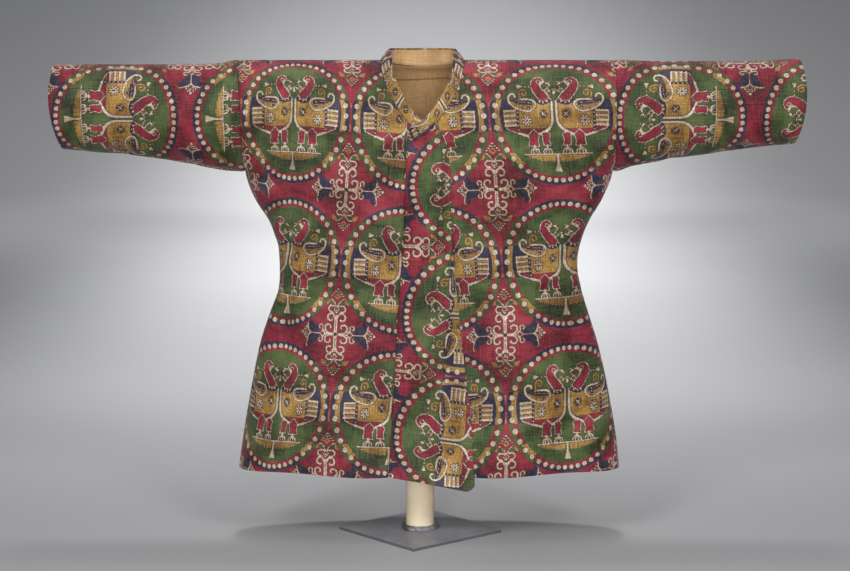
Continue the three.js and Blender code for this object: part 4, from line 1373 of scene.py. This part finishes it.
class Graph:
    """A material's node tree, with short calls for the nodes used here."""

    def __init__(self, name):
        self.material = bpy.data.materials.new(name)
        self.material.use_nodes = True
        self.tree = self.material.node_tree
        self.shader = self.tree.nodes["Principled BSDF"]

    def node(self, kind, inputs=None, **settings):
        made = self.tree.nodes.new(kind)
        for key, value in settings.items():
            setattr(made, key, value)
        for key, value in (inputs or {}).items():
            self.feed(made.inputs[key], value)
        return made

    def feed(self, socket, value):
        if isinstance(value, bpy.types.NodeSocket):
            self.tree.links.new(value, socket)
        else:
            socket.default_value = value

    def math(self, operation, *values):
        inputs = dict(enumerate(values))
        return self.node("ShaderNodeMath", inputs, operation=operation).outputs[0]

    def plus(self, a, b):
        return self.math("ADD", a, b)

    def minus(self, a, b):
        return self.math("SUBTRACT", a, b)

    def times(self, a, b):
        return self.math("MULTIPLY", a, b)

    def mix(self, factor, a, b, blend="MIX"):
        inputs = {0: factor, 6: a, 7: b}
        return self.node("ShaderNodeMix", inputs, data_type="RGBA", blend_type=blend).outputs[2]

    def span(self, value, low, high, to_low=0.0, to_high=1.0):
        inputs = {0: value, 1: low, 2: high, 3: to_low, 4: to_high}
        return self.node("ShaderNodeMapRange", inputs).outputs[0]

    def noise(self, vector, scale, detail=2.0, roughness=0.5):
        inputs = {"Vector": vector, "Scale": scale, "Detail": detail, "Roughness": roughness}
        return self.node("ShaderNodeTexNoise", inputs).outputs[0]

    def streaks(self, vector, scales, detail=2.0, roughness=0.5):
        """Noise with its own scale along each axis."""
        stretched = self.node("ShaderNodeMapping", {"Vector": vector, "Scale": scales})
        return self.noise(stretched.outputs[0], 1.0, detail, roughness)

    def surface(self, height, strength, distance, **inputs):
        """Feeds the shader, and bumps it by a height; an input's name has _ for a space."""
        bump = {"Height": height, "Strength": strength, "Distance": distance}
        inputs["Normal"] = self.node("ShaderNodeBump", bump).outputs[0]
        for name, value in inputs.items():
            self.feed(self.shader.inputs[name.replace("_", " ")], value)
        return self.material


# Dark and light tones, as they look on a screen.
DYE_TONES = {
    "crimson": ((82, 8, 28), (182, 42, 74)),
    "green": ((24, 44, 26), (88, 118, 64)),
    "navy": ((10, 16, 36), (40, 56, 96)),
    "ochre": ((126, 88, 38), (214, 170, 86)),
    "ivory": ((178, 152, 124), (246, 226, 202)),
}


def samite_material():
    """Weft-faced silk twill: dyes from the attributes, threads, uneven dyeing and a low sheen."""
    g = Graph("patterned_silk")
    cloth, first, second = (
        g.node("ShaderNodeAttribute", attribute_name=name).outputs["Vector"]
        for name in ("cloth", "dye_a", "dye_b")
    )
    green, navy, ochre = g.node("ShaderNodeSeparateXYZ", {0: first}).outputs
    ivory = g.node("ShaderNodeSeparateXYZ", {0: second}).outputs[0]
    weft = g.streaks(cloth, (0.05, 1.1, 1), 3.0, 0.6)
    warp = g.streaks(cloth, (1.0, 0.035, 1), 3.0, 0.6)
    fleck = g.streaks(cloth, (0.9, 1.3, 1), 2.0, 0.6)
    patch = g.streaks(cloth, (0.018, 0.03, 1), 3.0, 0.55)
    tone = g.plus(g.times(weft, 0.5), g.times(warp, 0.5))
    tone = g.span(g.plus(tone, g.times(g.minus(patch, 0.5), 0.9)), 0.36, 0.64)

    def dyed(name):
        dark, light = DYE_TONES[name]
        return g.mix(tone, dye_colour(*dark), dye_colour(*light))

    colour = dyed("crimson")
    ragged = g.times(g.minus(fleck, 0.5), 0.7)
    softness = 0.16
    layers = (
        ("green", green, 0.24),
        ("navy", navy, 0.2),
        ("ochre", ochre, 0.14),
        ("ivory", ivory, -0.06),
    )
    for name, field, overlap in layers:
        edge = g.plus(g.plus(field, ragged), overlap)
        mask = g.span(edge, -softness, softness)
        if name == "ivory":
            # the light figures are edged with gaps where the dark warp shows
            beside = g.span(edge, -0.95, -0.15, 0.0, 0.82)
            colour = g.mix(beside, colour, dye_colour(48, 28, 28))
        colour = g.mix(mask, colour, dyed(name))
    # brown binding warps show through between the wefts, and more of them where the silk is worn
    binding = g.span(fleck, 0.54, 0.74, 0.0, 0.42)
    colour = g.mix(binding, colour, dye_colour(84, 58, 40))
    bare = g.streaks(cloth, (0.4, 0.26, 1), 3.0, 0.65)
    colour = g.mix(g.span(bare, 0.46, 0.68, 0.0, 0.55), colour, dye_colour(106, 76, 52))
    # and each pick of weft is a little lighter or darker than the next
    pick = g.streaks(cloth, (0.12, 2.4, 1), 2.0, 0.7)
    end = g.streaks(cloth, (1.6, 0.05, 1), 2.0, 0.7)
    worn = g.streaks(cloth, (0.55, 0.016, 1), 2.0, 0.5)
    shade = g.times(g.span(pick, 0.35, 0.65, 0.62, 1.2), g.span(end, 0.36, 0.64, 0.72, 1.18))
    shade = g.times(shade, g.span(worn, 0.62, 0.7, 1.0, 0.68))
    shaded = g.node("ShaderNodeCombineXYZ", {0: shade, 1: shade, 2: shade}).outputs[0]
    colour = g.mix(1.0, colour, shaded, "MULTIPLY")
    rubbed = g.span(patch, 0.5, 0.8, 0.0, 0.16)
    colour = g.mix(rubbed, colour, dye_colour(176, 140, 112))

    twill = g.node("ShaderNodeVectorMath", {0: cloth, 1: (1.0, 2.0, 0.0)}, operation="DOT_PRODUCT")
    ribs = g.math("SINE", g.times(twill.outputs["Value"], 2 * math.pi / TWILL_RIB))
    height = g.plus(g.plus(g.times(ribs, 0.22), g.times(weft, 1.2)), g.times(warp, 0.8))
    return g.surface(
        height,
        0.5,
        0.0006,
        Base_Color=colour,
        Roughness=g.span(fleck, 0.3, 0.7, 0.5, 0.68),
        Specular_IOR_Level=0.28,
        Sheen_Weight=0.12,
        Sheen_Roughness=0.45,
    )


def lining_material():
    """Plain golden-brown silk, soiled and a little creased."""
    g = Graph("lining_silk")
    place = g.node("ShaderNodeTexCoord").outputs["Object"]
    weft = g.streaks(place, (90, 90, 2200), 3.0, 0.6)
    warp = g.streaks(place, (2200, 90, 60), 3.0, 0.6)
    stain = g.noise(place, 26.0, 4.0, 0.6)
    tone = g.plus(g.times(weft, 0.5), g.times(warp, 0.5))
    colour = g.mix(g.span(tone, 0.35, 0.65), dye_colour(176, 136, 92), dye_colour(222, 182, 130))
    colour = g.mix(g.span(stain, 0.5, 0.75, 0.0, 0.55), colour, dye_colour(132, 94, 62))
    # painted shade: a dark line along the seam across the back of the neck, where its groove lies
    x, _, z = g.node("ShaderNodeSeparateXYZ", {0: place}).outputs
    sway = g.times(g.math("SINE", g.times(x, 60)), 0.0009)
    away = g.math("ABSOLUTE", g.minus(g.minus(z, LINING_SEAM_Z * MM), sway))
    colour = g.mix(g.span(away, 0.0004, 0.0013, 0.6, 0.0), colour, dye_colour(92, 62, 40))
    return g.surface(
        tone,
        0.3,
        0.0005,
        Base_Color=colour,
        Roughness=0.6,
        Specular_IOR_Level=0.35,
        Sheen_Weight=0.15,
    )


def paint_material(name, dark, light, roughness, speckle, edge=None):
    """Paint on metal: slight orange peel, dust and scuffs, and painted shade on a plate's edges below
    its top.
    """
    g = Graph(name)
    coordinates = g.node("ShaderNodeTexCoord")
    place = coordinates.outputs["Object"]
    cloud = g.noise(place, 30.0, 5.0, 0.6)
    grain = g.noise(place, 1400.0, 2.0, 0.6)
    colour = g.mix(g.span(cloud, 0.35, 0.7), dye_colour(*dark), dye_colour(*light))
    colour = g.mix(g.span(grain, 0.55, 0.75, 0.0, speckle), colour, dye_colour(*light))
    # painted shade: below its top, a plate's sides are darkened towards the colour edge
    if edge:
        up = g.node("ShaderNodeSeparateXYZ", {0: coordinates.outputs["Generated"]}).outputs[2]
        colour = g.mix(g.span(up, 0.7, 0.96, 0.85, 0.0), colour, dye_colour(*edge))
    gloss = g.span(cloud, 0.3, 0.7, roughness - 0.06, roughness + 0.08)
    return g.surface(grain, 0.12, 0.0004, Base_Color=colour, Roughness=gloss)


# ---- the stand -----------------------------------------------------------------------------


POST = {"foot_bevel": 0.3, "head_bevel": 0.8}
# How far the bead's lines lie off the post, at its hole and crown, and inside its solid's edge, at
# its foot and side, and the share of its height where its side starts to round over.
BEAD = {"hole": 0.3, "crown": 0.6, "foot": 0.5, "side": 1.2, "rounds_from": 0.1}
# Each wave of its lumps: size, number of lumps, where they start, and how much they lean.
BEAD_LUMPS = [(1.1, 5, 0.6, 0), (0.9, 11, 0, 0.4), (0.8, 23, 0, 1.3), (0.6, 37, 0, -0.9)]


def turned(name, profile_points, centre, material, sides=96, wobble=None):
    """A surface of revolution round a vertical axis; wobble(angle, k) adds to a radius."""
    points, faces = [], []
    count = len(profile_points)
    for s in range(sides):
        angle = 2 * math.pi * s / sides
        for k, (radius, height) in enumerate(profile_points):
            r = radius + (wobble(angle, k) if wobble else 0)
            place = (centre[0] + r * math.cos(angle), centre[1] + r * math.sin(angle), height)
            points.append([float(c) * MM for c in place])
        beside = (s + 1) % sides
        for k in range(count - 1):
            a, b = s * count + k, beside * count + k
            faces.append((a, b, b + 1, a + 1))
    mesh = bpy.data.meshes.new(name)
    mesh.from_pydata(points, [], faces)
    mesh.validate()
    mesh.update()
    return placed(name, mesh, [material])


def make_post(cream):
    """The post, with its sharp edges broken."""
    low, high = (np.array(corner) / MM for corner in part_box("post"))
    radius = (high - low)[0] / 2
    foot, head = low[2], high[2]
    lip = POST["head_bevel"]
    rings = [(AXIS, foot), (radius - POST["foot_bevel"], foot), (radius, foot + POST["foot_bevel"])]
    rings += [(radius, z) for z in np.linspace(foot + 2, head - lip, 60)]
    rings += [(radius - lip * 0.3, head - lip * 0.3), (radius - lip, head), (AXIS, head)]
    post = turned("post_painted", rings, (low + high)[:2] / 2, cream)
    stands_for(post, "post")


def make_bead(metal):
    """The lumpy weld round the post's foot, just clear of the post."""
    post_low, post_high = (np.array(corner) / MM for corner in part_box("post"))
    centre = (post_low + post_high)[:2] / 2
    radius = (post_high - post_low)[0] / 2
    low, high = (np.array(corner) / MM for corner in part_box("weld_bead"))
    outer = (high - low)[0] / 2
    foot, tall = low[2], high[2] - low[2]

    def lumps(angle, k):
        waves = [size * math.sin(n * angle + start + lean * k) for size, n, start, lean in BEAD_LUMPS]
        return math.sin(math.pi * min(k, 10) / 10) * sum(waves)

    inner, crown = radius + BEAD["hole"], radius + BEAD["crown"]
    line = [(inner, foot), (outer - BEAD["foot"], foot)]
    for turn in math.pi / 2 * np.arange(9) / 8:
        out = crown + (outer - BEAD["side"] - crown) * math.cos(turn)
        up = BEAD["rounds_from"] + (1 - BEAD["rounds_from"]) * math.sin(turn)
        line.append((out, foot + tall * up))
    line += [(inner, high[2]), (inner, foot)]
    bead = turned("weld_bead_lumpy", line, centre, metal, wobble=lumps)
    stands_for(bead, "weld_bead")


def paint_plate(grey):
    """The base plate is its solid as it stands, with paint on it."""
    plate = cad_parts["base_plate"]
    plate.data.materials.clear()
    plate.data.materials.append(grey)


def make_bar(cream):
    """The bent support under the shoulders, on the solid's own line."""
    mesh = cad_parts["shoulder_bar"].data.copy()
    mesh.materials.clear()
    bar = placed("shoulder_bar_painted", mesh, [cream])
    merge = bar.modifiers.new("merge", "WELD")
    merge.merge_threshold = 0.05 * MM
    smooth = bar.modifiers.new("smooth", "SUBSURF")
    smooth.levels = 2
    smooth.render_levels = 2
    stands_for(bar, "shoulder_bar")


# ---- stage ---------------------------------------------------------------------------------

BACKDROP = {"radius": 7000, "bend": 1800, "wall": 5200}
LOOKED_AT = (0, 0, 330)
# Soft lamps on the coat: place, size and power in watts.
LAMPS = {
    "front": ((100, -2600, 700), 900, 23),
    "key": ((-1200, -2100, 2000), 900, 29),
    "fill": ((1300, -2100, 1950), 900, 24),
    "top": ((0, -600, 2700), 1300, 7),
}
# Soft spots on the floor and wall behind, and one on the post: place, target, cone and power.
SPOTS = {
    "bend": ((0, 3000, 3200), (0, 6000, 200), 38, 504),
    "wide_floor": ((0, 3600, 3300), (0, 4600, 0), 100, 315),
    "far_floor": ((0, 4500, 3000), (0, 5100, 0), 52, 387),
    "post_light": ((-250, -1600, 450), (0, 0, 35), 8, 27),
}
# A row of like spots straight over the floor, one behind the other.
FLOOR_ROW = {"height": 3200, "apart": 700, "cone": 37}
FLOOR_ROW_POWERS = (224, 278, 430, 408, 339, 239, 108)
SPOT_SOFTNESS = {"post_light": 30}
FLOOR_SOFTNESS = 300


def make_backdrop():
    """A pale floor that runs up into a pale wall."""
    g = Graph("backdrop")
    g.shader.inputs["Base Color"].default_value = dye_colour(172, 172, 173)
    g.shader.inputs["Roughness"].default_value = 0.9
    g.shader.inputs["Specular IOR Level"].default_value = 0.1
    bend = BACKDROP["bend"]
    flat = BACKDROP["radius"] - bend
    line = [(AXIS, 0), (flat, 0)]
    for a in np.linspace(0, math.pi / 2, 18)[1:]:
        line.append((flat + bend * math.sin(a), bend - bend * math.cos(a)))
    line.append((BACKDROP["radius"], BACKDROP["wall"]))
    turned("backdrop", line, (0, 0), g.material)


def add_lamp(name, kind, place, target, power):
    """A lamp at a place, turned towards its target."""
    data = bpy.data.lights.new(name, kind)
    data.energy = power
    lamp = bpy.data.objects.new(name, data)
    lamp.location = [c * MM for c in place]
    direction = Vector([t - p for t, p in zip(target, place)])
    lamp.rotation_euler = direction.to_track_quat("-Z", "Y").to_euler()
    bpy.context.collection.objects.link(lamp)
    return data


def make_lights():
    """Lamps on the coat, spots on floor, wall and post, and a pale world."""
    for name, (place, size, power) in LAMPS.items():
        data = add_lamp(name, "AREA", place, LOOKED_AT, power)
        data.shape = "DISK"
        data.size = size * MM
    spots = dict(SPOTS)
    for k, power in enumerate(FLOOR_ROW_POWERS, start=1):
        back = k * FLOOR_ROW["apart"]
        place = (0, back, FLOOR_ROW["height"])
        spots[f"floor_{k}"] = (place, (0, back, 0), FLOOR_ROW["cone"], power)
    for name, (place, target, cone, power) in spots.items():
        data = add_lamp(name, "SPOT", place, target, power)
        data.spot_size = math.radians(cone)
        data.spot_blend = 1.0
        data.shadow_soft_size = SPOT_SOFTNESS.get(name, FLOOR_SOFTNESS) * MM

    world = bpy.data.worlds.new("studio")
    bpy.context.scene.world = world
    world.use_nodes = True
    background = world.node_tree.nodes["Background"]
    background.inputs[0].default_value = (0.9, 0.93, 1.0, 1)
    background.inputs[1].default_value = 0.27


def make_camera():
    """The camera at the photo's own place, in the frame's coordinates."""
    data = bpy.data.cameras.new("camera")
    data.sensor_width = SENSOR_MM
    data.lens = CAMERA["focal_px"] / PHOTO_WIDTH_PX * SENSOR_MM
    data.clip_end = 50
    camera = bpy.data.objects.new("camera", data)
    camera.location = (CAMERA["x"] * MM, CAMERA["y"] * MM, CAMERA["z"] * MM)
    camera.rotation_euler = (math.radians(90 - CAMERA["down_degrees"]), 0, 0)
    bpy.context.collection.objects.link(camera)
    bpy.context.scene.camera = camera
    bpy.context.scene.view_settings.view_transform = "Standard"


# ---- everything ----------------------------------------------------------------------------

make_camera()
make_backdrop()
make_lights()
samite = samite_material()
lining = lining_material()
cream = paint_material("cream_paint", (234, 214, 180), (247, 233, 206), 0.4, 0.1)
# its last colour is painted shade on the plate's sides
grey = paint_material("grey_paint", (124, 124, 131), (152, 152, 158), 0.42, 0.2, (84, 84, 88))
metal = paint_material("weld", (66, 66, 72), (146, 146, 152), 0.26, 0.4)
silks = [samite, lining]
make_front("front_wearers_right", -1, silks)
make_front("front_wearers_left", 1, silks)
make_back("back", silks)
make_strip("front_strip", silks)
make_sleeve("sleeve_wearers_right", -1, silks)
make_sleeve("sleeve_wearers_left", 1, silks)
make_collar("collar", silks)
make_lining("back_lining", [lining, lining])
make_post(cream)
make_bead(metal)
paint_plate(grey)
make_bar(cream)
